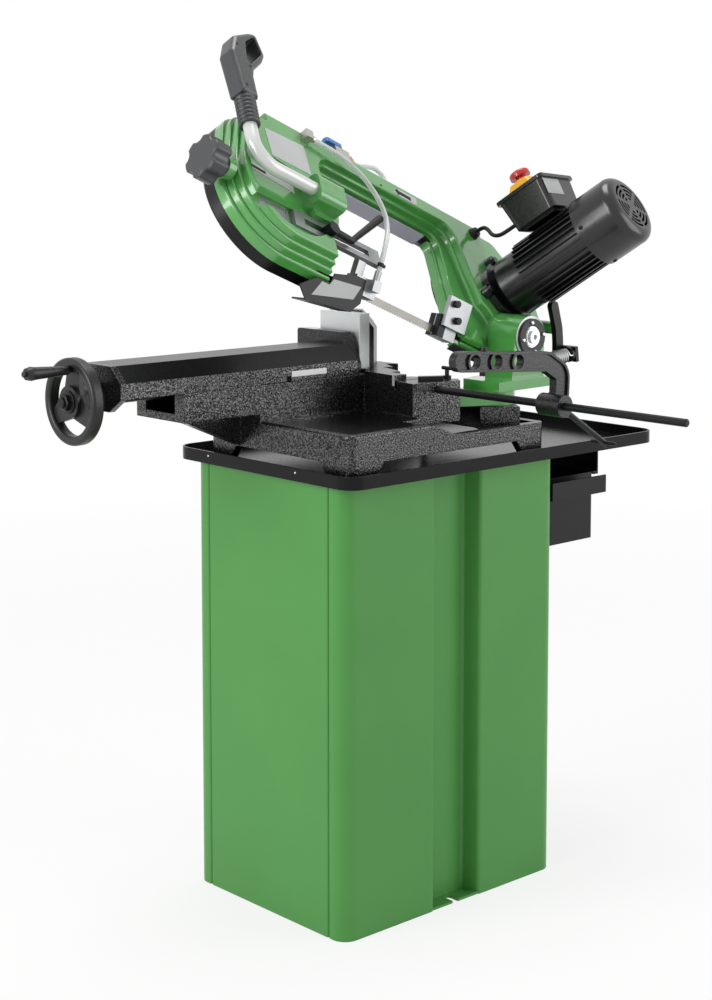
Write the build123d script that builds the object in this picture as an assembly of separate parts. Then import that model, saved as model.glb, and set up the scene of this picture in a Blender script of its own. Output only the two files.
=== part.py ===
from build123d import *
import math
import os

# Metal cutting band saw on a sheet metal stand, in millimetres.
# X runs along the stock, positive to the outfeed side. The operator stands at -Y. Z is up.
# The origin is on the floor under the middle of the stand.

# Stand: two folded side sheets with a panel between them at the front and at the rear
STAND_WIDTH = 360.0
STAND_LENGTH = 470.0
STAND_HEIGHT = 700.0
SHEET = 2.0
STAND_BEND_R = 25.0
STAND_RETURN = 36.0
STAND_LIP = 18.0
LIP_BEND_R = 4.0
GROOVE_WIDTH = 102.0
GROOVE_DEPTH = 30.0
GROOVE_Y = 6.0
GROOVE_SLOPE = 10.0
GROOVE_BEND_R = 6.0
FOOT_THICKNESS = 4.0
FOOT_SLOT_WIDTH = 12.0
FOOT_SLOT_DEPTH = 24.0
PANEL_SEAM = 0.5
PANEL_FLANGE = 24.0

# Chip tray and the coolant tank that slides under its rear end
TRAY_OVERHANG_X = 31.0
TRAY_OVERHANG_FRONT = 15.0
TRAY_OVERHANG_REAR = 221.0
TRAY_LIP = 20.0
TRAY_WALL = 3.0
TRAY_CORNER_R = 30.0
DRAIN_R = 22.0
TANK_WIDTH = 236.0
TANK_LENGTH = 152.0
TANK_HEIGHT = 115.0
TANK_WALL = 2.5
TANK_RIM = 9.0
TANK_GAP_Y = 14.0
RAIL_DROP = 60.0
RAIL_THICKNESS = 2.5
RAIL_LEDGE = 11.0
PULL_DEPTH = 35.0
PULL_HEIGHT = 30.0

# Base casting: pan on legs, table block behind it and the vise bed on its left
BASE_X0 = -150.0
BASE_X1 = 186.0
BASE_Y0 = -227.0
BASE_Y1 = 200.0
BASE_HEIGHT = 74.0
BASE_WALL = 14.0
BASE_CORNER_R = 14.0
BASE_ROUND = 4.0
PAN_PLATE = 14.0
PAN_RIM = 12.0
PAN_DEPTH = 4.0
ARCH_HEIGHT = 29.0
ARCH_SLOPE = 22.0
LEG_WIDTH = 46.0
REAR_STEP = 20.0
STEP_RAMP = 42.0
STEP_RUNOUT = 12.0
STEP_X = 52.0
STEP_OVERLAP = 30.0
TABLE_HEIGHT = 135.0
TABLE_FRONT_Y = -17.0
TABLE_REAR_Y = 104.0
OUTFEED_DROP = 9.0
KERF_SLOT = 4.0
KERF_SLOT_DEPTH = 22.0
TURN_R = 40.0
GUIDE_SWEEP_R = 104.0
COLUMN_SWEEP_R = 146.0
COLUMN_SWEEP_DEPTH = 32.0

# Vise
VISE_X = -82.0
VISE_WIDTH = 120.0
BED_HEIGHT = 130.0
BED_DEPTH = 45.0
BED_WALL = 23.0
BED_FLOOR = 12.0
BED_FRONT_Y = -375.0
SLIDE_FRONT_Y = -480.0
SLIDE_HEIGHT = 24.0
SLIDE_WALL = 14.0
COVER_HEIGHT = 24.0
COVER_BEVEL = 25.0
COVER_SHEET = 3.0
END_PLATE = 10.0
END_PLATE_DROP = 20.0
END_PLATE_BEVEL = 30.0
GIB_Y0 = -216.0
GIB_Y1 = -163.0
GIB_DEPTH = 6.0
GIB_HEIGHT = 9.0
JAW_TOP = 66.0
JAW_THICKNESS = 22.0
JAW_SIDE = 108.0
JAW_LEAN = 26.0
FIXED_JAW_Y = 9.0
FIXED_JAW_X0 = -150.0
FIXED_JAW_X1 = -52.0
FIXED_JAW_DEPTH = 58.0
FIXED_JAW_HEIGHT = 90.0
JAW_PLATE = 23.0
JAW_BEVEL = 28.0
SCREW_D = 20.0
SCREW_DROP = 3.0
NUT_SIZE = 36.0
NUT_LENGTH = 40.0
NUT_Y = -70.0
NUT_CROWN = 3.0
NUT_ROOM = 3.0
WHEEL_RIM_D = 130.0
WHEEL_RIM_WIDTH = 14.0
WHEEL_RIM_DEPTH = 20.0
WHEEL_HUB_R = 24.0
WHEEL_SPOKE = 8.0
WHEEL_SPOKE_TIP = 20.0
WHEEL_DISH = 15.0
HANDWHEEL_Y = -541.0
CRANK_R = 47.0
CRANK_LENGTH = 72.0
CRANK_D = 21.0
CRANK_ROOT_D = 13.0
CRANK_PIN_D = 8.0

# Length stop on the outfeed side
STOP_ROD_D = 12.0
STOP_ROD_Y = 30.0
STOP_ROD_DROP = 21.0
STOP_ROD_X0 = 78.0
STOP_ROD_X1 = 605.0
STOP_ARM_X = 344.0
STOP_ARM_THICKNESS = 14.0
STOP_ARM_WIDTH = 30.0
STOP_ARM_RIM = 4.0
STOP_ARM_WEB = 7.0
STOP_HOLE_R = 10.5
STOP_CLAMP_D = 34.0
STOP_LEVER_LENGTH = 112.0
STOP_LEVER_D = 9.0
STOP_LEVER_X = 366.0

# Mitre swivel: pin in the table block, arm through a pocket, bearing housing for the bow
SWIVEL_X = 58.0
SWIVEL_Y = 20.0
SWIVEL_PIN_D = 28.0
SWIVEL_EYE_R = 28.0
ARM_Z0 = 83.0
ARM_THICKNESS = 22.0
ARM_GAP = 1.5
ARM_SIDE_GAP = 4.0
HUB_X = 116.0
HUB_Y = 150.0
HUB_R = 36.0
PAD_R0 = 112.0
PAD_R1 = 176.0
PAD_SPILL = 18.0
MITRE_RANGE = 45.0
PIVOT_Y = 219.0
PIVOT_HEIGHT = 187.0
PIVOT_SHAFT_D = 32.0
SHAFT_X0 = 57.0
HOUSING_D = 70.0
HOUSING_X0 = 72.0
HOUSING_X1 = 135.0
CAP_THICKNESS = 5.0
CAP_RING = 12.0
CAP_GAP = 2.0
SHAFT_STEP_R = 11.0
SHAFT_STEP = 4.0
SHAFT_CENTRE_R = 4.5
COLUMN_FLARE = 8.0
POINTER_HEIGHT = 7.0

# Counterbalance spring between the bracket and a lever behind the bow
SPRING_X = 118.0
SPRING_DROP = 49.0
SPRING_TILT = 7.0
SPRING_LENGTH = 70.0
SPRING_SEAT = 9.0
SPRING_R = 11.5
SPRING_WIRE = 3.0
SPRING_PITCH = 5.0
SPRING_COILS = 11
TAIL_X = 98.0
TAIL_THICKNESS = 10.0
TAIL_WIDTH = 17.0
TAIL_SEAT = 6.0
TAIL_LUG = 7.0
TAIL_LUG_HALF = 13.0
TAIL_BOLT_D = 10.0
TAIL_HEAD = 7.0

# Bow: raised by BOW_RAISE, with the wheels tilted by BOW_TILT from upright
BOW_RAISE = 22.5
BOW_TILT = 37.0
BLADE_DROP = 41.6
BLADE_WIDTH = 13.0
BLADE_THICKNESS = 0.9
BLADE_LOOP = 1640.0
TOOTH_PITCH = 6.0
TOOTH_DEPTH = 2.4
TWIST_REAR_U0 = 5.0
TWIST_REAR_U1 = 82.0
TWIST_FRONT_U0 = 326.0
TWIST_FRONT_U1 = 396.0
WHEEL_D = 203.0
WHEEL_WIDTH = 14.0
WHEEL_RIM = 9.0
WHEEL_HOLE_R = 17.0
DRIVE_U = -11.0
DRIVE_SHAFT_D = 24.0
BOW_MARGIN = 13.5
BOW_PART_N = -8.0
BOW_STEP_N = 10.0
BOW_WEB_N = 12.0
BOW_FACE_N = 48.0
BOW_WALL = 10.0
TIER_INSET = 5.0
TIER_ROUND = 3.5
THROAT_R = 20.0
FLAT_ROUND = 20.0
BEAM_BOTTOM = 196.0
BEAM_TOP = 240.0
CREST_U0 = 4.0
CREST_U1 = 520.0
COLUMN_U = 103.0
JAW_END_U = 398.0
FRONT_FLOOR_N = 36.0
FLOOR_INSET = 27.0
BLADE_SLOT_V = -9.5
HINGE_CLEAR_N = 3.0
COVER_N = -31.0
COVER_END_U = 380.0
GUARD_END_U = 62.0
GUARD_LIP_N = 16.0
COVER_WALL = 3.0
DEFLECTOR_N = -12.0

# Blade tension
TENSION_U = 612.0
TENSION_N = 21.0
TENSION_SCREW_D = 12.0
TENSION_BOSS_R = 17.0
IDLER_BLOCK = 42.0
IDLER_AXLE_D = 20.0
IDLER_TRAVEL = 5.0
IDLER_THREAD = 16.0
IDLER_FIT = 0.1
KNOB_D = 70.0
KNOB_DEPTH = 30.0
KNOB_NECK = 14.0

# Motor, switch and stop button
MOTOR_U = -16.0
MOTOR_V = 106.0
MOTOR_FLANGE = 13.0
MOTOR_FLANGE_R = 56.0
MOTOR_BELL_R = 52.0
MOTOR_BODY_N = 118.0
MOTOR_COWL_N = 246.0
MOTOR_END_N = 328.0
MOTOR_R = 58.0
MOTOR_FIN = 7.0
MOTOR_FINS = 32
MOTOR_FIN_THICKNESS = 2.6
MOTOR_SHAFT = 34.0
MOTOR_SHAFT_D = 14.0
FAN_GAP = 12.0
COWL_R = 61.0
COWL_WALL = 2.5
SWITCH_N = 143.0
SWITCH_TURN = 22.3
SWITCH_WIDTH = 110.0
SWITCH_LENGTH = 92.0
SWITCH_HEIGHT = 58.0
SWITCH_GAP = 4.0
SWITCH_DRAFT = 5.0
SWITCH_LID = 6.0
STOP_N = 36.0
STOP_HEIGHT = 22.0
STOP_STEM_R = 9.0
STOP_HEAD_R = 18.0
STOP_HEAD = 11.0
STOP_TRAVEL = 5.0

# Handle
HANDLE_U = 582.0
HANDLE_V = 101.0
HANDLE_N = 63.0
HANDLE_D = 22.0
HANDLE_SOCKET_U = 461.0
HANDLE_DEPTH = 38.0
HANDLE_BEND_R = 42.0
GRIP_V0 = 167.0
GRIP_DEPTH = 34.0
GRIP_ROUND = 8.0
GRIP_BORE = 68.0
SLEEVE_R = 13.8
SLEEVE_LENGTH = 60.0
SLEEVE_RIBS = 7
SLEEVE_RIB_R = 3.0
SLEEVE_PITCH = 8.0
TRIGGER_WIDTH = 14.0
TRIGGER_V0 = 132.0
TRIGGER_V1 = 156.0
TRIGGER_REACH = 16.0

# Blade guides
GUIDEWAY_U = 560.0
GUIDEWAY_V = 50.0
GUIDE_FLOOR_N = 31.0
GUIDE_BAR_WIDTH = 32.0
GUIDE_BAR = 8.0
GUIDE_U0 = 300.0
GUIDE_U1 = 490.0
GUIDE_HALF = 12.0
GUIDE_RUN = 0.35
POST_U = 337.0
FRONT_GUIDE_U0 = 297.0
FRONT_GUIDE_U1 = 324.0
FRONT_GUIDE_W0 = -4.0
FRONT_GUIDE_W1 = 24.0
POST_HALF = 8.0
REAR_GUIDE_U0 = 92.0
REAR_GUIDE_U1 = 144.0
REAR_GUIDE_W0 = 9.0
REAR_GUIDE_W1 = 60.0
REAR_BLOCK_U1 = 146.0
REAR_BLOCK_W0 = -10.0
REAR_BLOCK_W1 = 27.0
GUARD_SHEET = 2.5
CLAMP_U = 418.0
CLAMP_SCREW_D = 10.0

# Coolant line and motor cable: (u, v, n) points in the bow's plane, chosen by hand
VALVE_U = 340.0
VALVE_N = 36.0
HOSE_D = 8.0
CABLE_D = 7.0
BARB_X = 19.0
BARB_W = 40.0
HOSE_ROUTE = [
    (425.0, 225.0, 57.0),
    (392.0, 224.0, 58.0),
    (356.0, 215.0, 60.0),
    (324.0, 195.0, 62.0),
    (301.0, 165.0, 63.0),
    (291.0, 131.0, 64.0),
    (294.0, 98.0, 64.0),
    (304.0, 69.0, 62.0),
    (311.0, 41.7, 55.23),
    (311.0, 20.51, 39.26),
]
LOOP_ROUTE = [
    (306.0, 249.0, 36.0),
    (288.0, 253.0, 36.0),
    (269.0, 262.0, 36.0),
    (252.0, 268.0, 36.0),
    (238.0, 266.0, 36.0),
    (230.0, 257.0, 36.0),
    (229.0, 246.0, 36.0),
]
CABLE_ROUTE = [
    (36.0, 172.0, 143.0),
    (36.0, 172.0, 125.0),
    (40.0, 170.0, 107.0),
    (31.0, 188.0, 88.0),
    (25.0, 209.0, 80.0),
    (25.0, 221.0, 72.0),
    (25.0, 221.0, 58.0),
]

# Clearances
RUN = 0.3
FIT = 0.05

# Cylinders and cones stand on their lower end
UPRIGHT = (Align.CENTER, Align.CENTER, Align.MIN)

# Values worked out from the sizes above
HALF_W = STAND_WIDTH / 2
HALF_L = STAND_LENGTH / 2
TRAY_Z = STAND_HEIGHT
SEAT_Z = TRAY_Z + TRAY_WALL
PAN_Z = SEAT_Z + BASE_HEIGHT
BED_Z = SEAT_Z + BED_HEIGHT
TABLE_Z = SEAT_Z + TABLE_HEIGHT
PIVOT_Z = SEAT_Z + PIVOT_HEIGHT
SCREW_Z = BED_Z - SCREW_DROP
CAP_D = PIVOT_SHAFT_D + 2 * (CAP_GAP + CAP_RING)
WHEEL_R = WHEEL_D / 2
BOW_R = WHEEL_R + BOW_MARGIN
WHEEL_SPACING = (BLADE_LOOP - math.pi * WHEEL_D) / 2
IDLER_U = DRIVE_U + WHEEL_SPACING
SIN_RAISE = math.sin(math.radians(BOW_RAISE))
COS_RAISE = math.cos(math.radians(BOW_RAISE))
SIN_TILT = math.sin(math.radians(BOW_TILT))
COS_TILT = math.cos(math.radians(BOW_TILT))
TENSION_V = WHEEL_R
IDLER_TOP_N = 2 * TENSION_N - BOW_WEB_N
BLADE_FOOT = (SWIVEL_X, PIVOT_Y - BLADE_DROP * SIN_RAISE, PIVOT_Z - BLADE_DROP * COS_RAISE)

# Bow plane: x to the rear along the blade, y up across the wheels, z along their axles to the motor
BOW = Plane(
    origin=BLADE_FOOT,
    x_dir=(0, COS_RAISE, -SIN_RAISE),
    z_dir=(COS_TILT, SIN_TILT * SIN_RAISE, SIN_TILT * COS_RAISE),
)
# Cut plane: the same origin and x, with y upright across the blade and z along the stock
CUT = Plane(origin=BLADE_FOOT, x_dir=(0, COS_RAISE, -SIN_RAISE), z_dir=(1, 0, 0))


def block(x0, x1, y0, y1, z0, z1):
    """Box between two corners."""
    return Pos((x0 + x1) / 2, (y0 + y1) / 2, (z0 + z1) / 2) * Box(x1 - x0, y1 - y0, z1 - z0)


def prism_x(points, x0, x1):
    """Polygon of (y, z) points, drawn out along X."""
    plane = Plane(origin=(x0, 0, 0), x_dir=(0, 1, 0), z_dir=(1, 0, 0))
    return extrude(plane * Polygon(*points, align=None), x1 - x0, dir=(1, 0, 0))


def prism_y(points, y0, y1):
    """Polygon of (x, z) points, drawn out along Y."""
    plane = Plane(origin=(0, y0, 0), x_dir=(1, 0, 0), z_dir=(0, -1, 0))
    return extrude(plane * Polygon(*points, align=None), y1 - y0, dir=(0, 1, 0))


def prism_z(points, z0, z1):
    """Polygon of (x, y) points, drawn out along Z."""
    return extrude(Pos(0, 0, z0) * Polygon(*points, align=None), z1 - z0, dir=(0, 0, 1))


def rod(start, end, radius, end_radius=None):
    """Round bar between two points, tapered when an end radius is given."""
    start = Vector(*start)
    end = Vector(*end)
    place = Plane(origin=start, z_dir=end - start).location
    length = (end - start).length
    if end_radius is None:
        return place * Cylinder(radius, length, align=UPRIGHT)
    return place * Cone(radius, end_radius, length, align=UPRIGHT)


def ring(start, end, outer, inner):
    """Round tube between two points."""
    return rod(start, end, outer) - rod(start, end, inner)


def folded(path, thickness, side=Side.LEFT):
    """Face of a folded sheet that follows a path in plan."""
    return make_face(offset(path, thickness, side=side).edges())


# Stand

def stand_side():
    """Right-hand side sheet: front return, rounded corner, pressed groove, rear return."""
    seam = HALF_W - STAND_RETURN
    floor = HALF_W - GROOVE_DEPTH
    y0 = GROOVE_Y - GROOVE_WIDTH / 2
    y1 = GROOVE_Y + GROOVE_WIDTH / 2
    path = FilletPolyline(
        (seam, -HALF_L + STAND_LIP),
        (seam, -HALF_L),
        (HALF_W, -HALF_L),
        (HALF_W, y0),
        (floor, y0 + GROOVE_SLOPE),
        (floor, y1 - GROOVE_SLOPE),
        (HALF_W, y1),
        (HALF_W, HALF_L),
        (seam, HALF_L),
        (seam, HALF_L - STAND_LIP),
        radius=[LIP_BEND_R, STAND_BEND_R] + [GROOVE_BEND_R] * 4 + [STAND_BEND_R, LIP_BEND_R],
    )
    wall = extrude(folded(path, SHEET), STAND_HEIGHT)
    foot = prism_z(
        [(floor, y0 + GROOVE_SLOPE), (HALF_W - SHEET, y0), (HALF_W - SHEET, y1), (floor, y1 - GROOVE_SLOPE)],
        0,
        FOOT_THICKNESS,
    )
    slot_end = HALF_W - FOOT_SLOT_DEPTH + FOOT_SLOT_WIDTH / 2
    half_slot = FOOT_SLOT_WIDTH / 2
    foot -= block(slot_end, HALF_W, GROOVE_Y - half_slot, GROOVE_Y + half_slot, -1, FOOT_THICKNESS + 1)
    foot -= rod((slot_end, GROOVE_Y, -1), (slot_end, GROOVE_Y, FOOT_THICKNESS + 1), half_slot)
    return wall + foot


def stand_panel():
    """Front panel: flat sheet with flanges that screw to the side sheets' lips, and a top flange."""
    edge = HALF_W - STAND_RETURN - PANEL_SEAM
    path = FilletPolyline(
        (-edge, -HALF_L + STAND_LIP),
        (-edge, -HALF_L),
        (edge, -HALF_L),
        (edge, -HALF_L + STAND_LIP),
        radius=LIP_BEND_R,
    )
    sheet = extrude(folded(path, SHEET), STAND_HEIGHT)
    inner = edge - SHEET
    y0 = -HALF_L + SHEET
    for z1 in (STAND_HEIGHT, SHEET):
        sheet += block(-inner, inner, y0 - SHEET / 2, y0 + PANEL_FLANGE, z1 - SHEET, z1)
    return sheet


# Chip tray, coolant tank and its rails

def tray_span():
    """Front and rear edge of the tray."""
    return -HALF_L - TRAY_OVERHANG_FRONT, HALF_L + TRAY_OVERHANG_REAR


def tank_span():
    """Front and rear wall of the tank."""
    y0 = HALF_L + TANK_GAP_Y
    return y0, y0 + TANK_LENGTH


def chip_tray():
    """Shallow pan with rounded corners and a drain hole over the tank."""
    y0, y1 = tray_span()
    outline = RectangleRounded(STAND_WIDTH + 2 * TRAY_OVERHANG_X, y1 - y0, TRAY_CORNER_R)
    outline = Pos(0, (y0 + y1) / 2, TRAY_Z) * outline
    tray = extrude(outline, TRAY_LIP)
    tray -= Pos(0, 0, TRAY_WALL) * extrude(offset(outline, -TRAY_WALL), TRAY_LIP)
    drain_y = sum(tank_span()) / 2
    return tray - rod((0, drain_y, TRAY_Z - 1), (0, drain_y, SEAT_Z + 1), DRAIN_R)


def tank_rails():
    """Two hangers under the tray whose ledges carry the tank's rims."""
    y0, y1 = tank_span()
    x = TANK_WIDTH / 2
    rails = []
    for y, sign in ((y0 - TANK_RIM - RUN, -1), (y1 + TANK_RIM + RUN, 1)):
        outer = y + sign * RAIL_THICKNESS
        ledge = y - sign * (RAIL_LEDGE - RAIL_THICKNESS)
        z0 = TRAY_Z - RAIL_DROP
        web = block(-x, x, min(y, outer), max(y, outer), z0, TRAY_Z)
        rails.append(web + block(-x, x, min(outer, ledge), max(outer, ledge), z0 - RAIL_THICKNESS, z0))
    return rails


def coolant_tank():
    """Open box with side rims on the rails and a channel along its face to pull it by."""
    y0, y1 = tank_span()
    x = TANK_WIDTH / 2
    rim_top = TRAY_Z - RAIL_DROP + RUN + TANK_WALL
    z0 = rim_top - TANK_HEIGHT
    tank = block(-x, x, y0, y1, z0, rim_top)
    tank = fillet(tank.edges().filter_by(Axis.Z), 8)
    tank -= block(-x + TANK_WALL, x - TANK_WALL, y0 + TANK_WALL, y1 - TANK_WALL, z0 + TANK_WALL, rim_top + 1)
    tank += block(-x, x, y0 - TANK_RIM, y0 + TANK_WALL, rim_top - TANK_WALL, rim_top)
    tank += block(-x, x, y1 - TANK_WALL, y1 + TANK_RIM, rim_top - TANK_WALL, rim_top)
    pull_z = rim_top - PULL_HEIGHT
    out = x + PULL_DEPTH
    tank += block(x - TANK_WALL, out, y0 + 8, y1 - 8, pull_z, pull_z + TANK_WALL)
    tank += block(out - TANK_WALL, out, y0 + 8, y1 - 8, pull_z, rim_top)
    return tank


# Base casting

def sector(radius, start, stop):
    """Wedge of a disc about the swivel axis, between two angles in degrees."""
    count = 6
    points = [(SWIVEL_X, SWIVEL_Y)]
    for step in range(count + 1):
        angle = math.radians(start + (stop - start) * step / count)
        points.append((SWIVEL_X + radius * math.cos(angle), SWIVEL_Y + radius * math.sin(angle)))
    return points


def arm_angle():
    """Direction of the swivel arm at rest, in degrees from +X."""
    return math.degrees(math.atan2(HUB_Y - SWIVEL_Y, HUB_X - SWIVEL_X))


def base_casting():
    """Pan on four legs, table block with its kerf slot and arm pocket, and the vise bed."""
    mid_x = (BASE_X0 + BASE_X1) / 2
    mid_y = (BASE_Y0 + BASE_Y1) / 2
    plan = RectangleRounded(BASE_X1 - BASE_X0, BASE_Y1 - BASE_Y0, BASE_CORNER_R)
    outline = Pos(mid_x, mid_y, SEAT_Z) * plan
    base = extrude(outline, BASE_HEIGHT)
    base = fillet(base.faces().sort_by(Axis.Z)[-1].edges(), BASE_ROUND)
    base -= extrude(offset(outline, -BASE_WALL), BASE_HEIGHT - PAN_PLATE)
    arch_z = SEAT_Z + ARCH_HEIGHT
    below = SEAT_Z - 1
    x0 = BASE_X0 + LEG_WIDTH
    x1 = BASE_X1 - LEG_WIDTH
    base -= prism_y(
        [(x0, below), (x1, below), (x1 - ARCH_SLOPE, arch_z), (x0 + ARCH_SLOPE, arch_z)],
        BASE_Y0 - 1,
        BASE_Y1 + 1,
    )
    y0 = BASE_Y0 + LEG_WIDTH
    y1 = BASE_Y1 - LEG_WIDTH
    base -= prism_x(
        [(y0, below), (y1, below), (y1 - ARCH_SLOPE, arch_z), (y0 + ARCH_SLOPE, arch_z)],
        BASE_X0 - 1,
        BASE_X1 + 1,
    )
    vise_right = VISE_X + VISE_WIDTH / 2
    base -= prism_z(
        [
            (vise_right + PAN_RIM, BASE_Y0 + PAN_RIM),
            (BASE_X1 - PAN_RIM, BASE_Y0 + PAN_RIM),
            (BASE_X1 - PAN_RIM, TABLE_FRONT_Y),
            (vise_right + PAN_RIM, TABLE_FRONT_Y),
        ],
        PAN_Z - PAN_DEPTH,
        PAN_Z + 1,
    )
    step_z = PAN_Z - REAR_STEP
    base -= block(
        SWIVEL_X - PAD_R1, BASE_X1 + 1, TABLE_REAR_Y - STEP_OVERLAP, BASE_Y1 + 1, step_z, PAN_Z + 1
    )
    base -= prism_x(
        [
            (TABLE_FRONT_Y - STEP_RAMP, PAN_Z),
            (TABLE_FRONT_Y + STEP_RUNOUT, step_z),
            (TABLE_REAR_Y, step_z),
            (TABLE_REAR_Y, PAN_Z + 1),
        ],
        SWIVEL_X + STEP_X,
        BASE_X1 + 1,
    )
    base += table_block(step_z)
    base += vise_bed()
    base -= arm_pocket()
    base -= rod(stop_axis(STOP_ROD_X0 - 2), stop_axis(BASE_X1), STOP_ROD_D / 2 + FIT)
    return base + swivel_pin()


def table_block(step_z):
    """Upright block that carries the fixed jaw and the blade slot, and the swivel arm's arc pad."""
    table = prism_z(
        [
            (BASE_X0, FIXED_JAW_Y),
            (VISE_X + VISE_WIDTH / 2, FIXED_JAW_Y),
            (VISE_X + VISE_WIDTH / 2, TABLE_FRONT_Y + 9),
            (SWIVEL_X + 43, TABLE_FRONT_Y),
            (SWIVEL_X + 62, SWIVEL_Y + 50),
            (SWIVEL_X + 14, TABLE_REAR_Y),
            (BASE_X0, TABLE_REAR_Y),
        ],
        step_z - PAN_PLATE + REAR_STEP,
        TABLE_Z,
    )
    kerf = SWIVEL_X + KERF_SLOT / 2
    table -= block(kerf, BASE_X1, TABLE_FRONT_Y - 9, TABLE_REAR_Y + 1, TABLE_Z - OUTFEED_DROP, TABLE_Z + 1)
    table -= block(
        kerf - KERF_SLOT, kerf, TABLE_FRONT_Y - 9, TABLE_REAR_Y + 1, TABLE_Z - KERF_SLOT_DEPTH, TABLE_Z + 1
    )
    table -= blade_sweep(TABLE_Z - OUTFEED_DROP)
    rest = arm_angle()
    arc = sector(PAD_R1, rest - PAD_SPILL, rest + MITRE_RANGE + PAD_SPILL)
    pad = prism_z(arc, step_z - PAN_PLATE + 2, SEAT_Z + ARM_Z0 - ARM_GAP)
    pad -= rod((SWIVEL_X, SWIVEL_Y, step_z - PAN_PLATE), (SWIVEL_X, SWIVEL_Y, PAN_Z + 20), PAD_R0)
    return table + pad


def blade_sweep(outfeed_z):
    """Room behind the stock for the blade and the rear guide at every mitre angle."""
    axis = (SWIVEL_X, SWIVEL_Y)
    middle = rod((*axis, outfeed_z), (*axis, TABLE_Z + 1), TURN_R)
    middle -= block(SWIVEL_X - 2 * TURN_R, SWIVEL_X + 2 * TURN_R, -TURN_R, FIXED_JAW_Y + 3, 0, 2 * TABLE_Z)
    guide = prism_z(sector(GUIDE_SWEEP_R, 58, 162), TABLE_Z - KERF_SLOT_DEPTH, TABLE_Z + 1)
    column = prism_z(sector(COLUMN_SWEEP_R, 58, 153), TABLE_Z - COLUMN_SWEEP_DEPTH, TABLE_Z + 1)
    column -= rod((*axis, 0), (*axis, 2 * TABLE_Z), GUIDE_SWEEP_R - 20)
    return middle + (guide - rod((*axis, 0), (*axis, 2 * TABLE_Z), TURN_R)) + column


def vise_bed():
    """Channel that the vise slides on, standing out to the front of the pan."""
    x0 = VISE_X - VISE_WIDTH / 2
    x1 = VISE_X + VISE_WIDTH / 2
    rear = FIXED_JAW_Y
    floor_z = BED_Z - BED_DEPTH
    bed = block(x0, x1, BED_FRONT_Y, rear, floor_z, floor_z + BED_FLOOR)
    bed += block(x0, x1, BASE_Y0, rear, PAN_Z - PAN_PLATE, floor_z + BED_FLOOR)
    bed += block(x0, x0 + BED_WALL, BED_FRONT_Y, rear, floor_z, BED_Z)
    bed += block(x1 - BED_WALL, x1, BED_FRONT_Y, rear, floor_z, BED_Z)
    bed += prism_x(
        [(BED_FRONT_Y + 20, floor_z), (BASE_Y0 + 2, PAN_Z - PAN_PLATE - 30), (BASE_Y0 + 2, floor_z)],
        VISE_X - BED_WALL / 2,
        VISE_X + BED_WALL / 2,
    )
    return bed


def arm_pocket():
    """Room inside the table block for the swivel arm's eye and its sweep."""
    z0 = SEAT_Z + ARM_Z0 - ARM_GAP
    height = ARM_THICKNESS + 2 * ARM_GAP
    arm = Pos(-SWIVEL_X, -SWIVEL_Y) * arm_plan(ARM_SIDE_GAP, 2.0)
    steps = 5
    turns = [Rot(0, 0, MITRE_RANGE * step / (steps - 1)) * arm for step in range(steps)]
    pocket = extrude(turns[0].fuse(*turns[1:]), height)
    return Pos(SWIVEL_X, SWIVEL_Y, z0) * pocket


def arm_plan(gap, reach):
    """Plan of the swivel arm, grown by a gap, with its hub moved out along the arm by a factor."""
    eye = Pos(SWIVEL_X, SWIVEL_Y) * Circle(SWIVEL_EYE_R + gap)
    hub_x = SWIVEL_X + (HUB_X - SWIVEL_X) * reach
    hub_y = SWIVEL_Y + (HUB_Y - SWIVEL_Y) * reach
    hub = Pos(hub_x, hub_y) * Circle(HUB_R + gap)
    return make_hull(eye.edges() + hub.edges())


def swivel_pin():
    """Pin that the swivel arm turns on, cast into the table block across the arm's pocket."""
    z0 = SEAT_Z + BASE_HEIGHT - PAN_PLATE
    z1 = SEAT_Z + ARM_Z0 + ARM_THICKNESS + ARM_GAP + 4
    return rod((SWIVEL_X, SWIVEL_Y, z0), (SWIVEL_X, SWIVEL_Y, z1), SWIVEL_PIN_D / 2)


# Vise

def fixed_jaw():
    """Buttressed casting behind the jaw plate."""
    y0 = FIXED_JAW_Y + JAW_PLATE
    y1 = y0 + FIXED_JAW_DEPTH
    z1 = TABLE_Z + FIXED_JAW_HEIGHT
    jaw = prism_x(
        [(y0, TABLE_Z), (y1, TABLE_Z), (y1, z1 - 18), (y0 + 20, z1 + 3), (y0, z1 + 3)],
        FIXED_JAW_X0,
        FIXED_JAW_X1,
    )
    relief = FIXED_JAW_DEPTH - 12
    side = FIXED_JAW_X1 + 1
    jaw -= prism_z(
        [(side, y0 + 8), (side, y1 + 1), (FIXED_JAW_X1 - relief, y1 + 1)], TABLE_Z - 1, z1 + 9
    )
    span = FIXED_JAW_X1 - FIXED_JAW_X0
    jaw -= block(FIXED_JAW_X0 + 14, FIXED_JAW_X0 + span / 2 - 6, y0 + 16, y1 + 1, TABLE_Z + 14, z1 + 9)
    bevel = Plane(origin=(FIXED_JAW_X1, y0 + 12, z1 - JAW_BEVEL), z_dir=(1, 1, 1))
    return split(jaw, bisect_by=bevel, keep=Keep.BOTTOM)


def fixed_jaw_plate():
    """Bare machined jaw face."""
    plate = block(
        FIXED_JAW_X0, FIXED_JAW_X1, FIXED_JAW_Y, FIXED_JAW_Y + JAW_PLATE, TABLE_Z, TABLE_Z + FIXED_JAW_HEIGHT
    )
    return chamfer(plate.edges().filter_by(Axis.Z), 1.0)


def vise_section(sheet):
    """Outline of the angular cover over the slide, set in by a sheet thickness."""
    x0 = VISE_X - VISE_WIDTH / 2 + sheet
    x1 = VISE_X + VISE_WIDTH / 2 - sheet
    z0 = BED_Z + RUN + SLIDE_HEIGHT
    z1 = z0 + COVER_HEIGHT - sheet
    return [(x0, z0), (x1, z0), (x1 - COVER_BEVEL, z1), (x0 + COVER_BEVEL, z1)]


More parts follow.
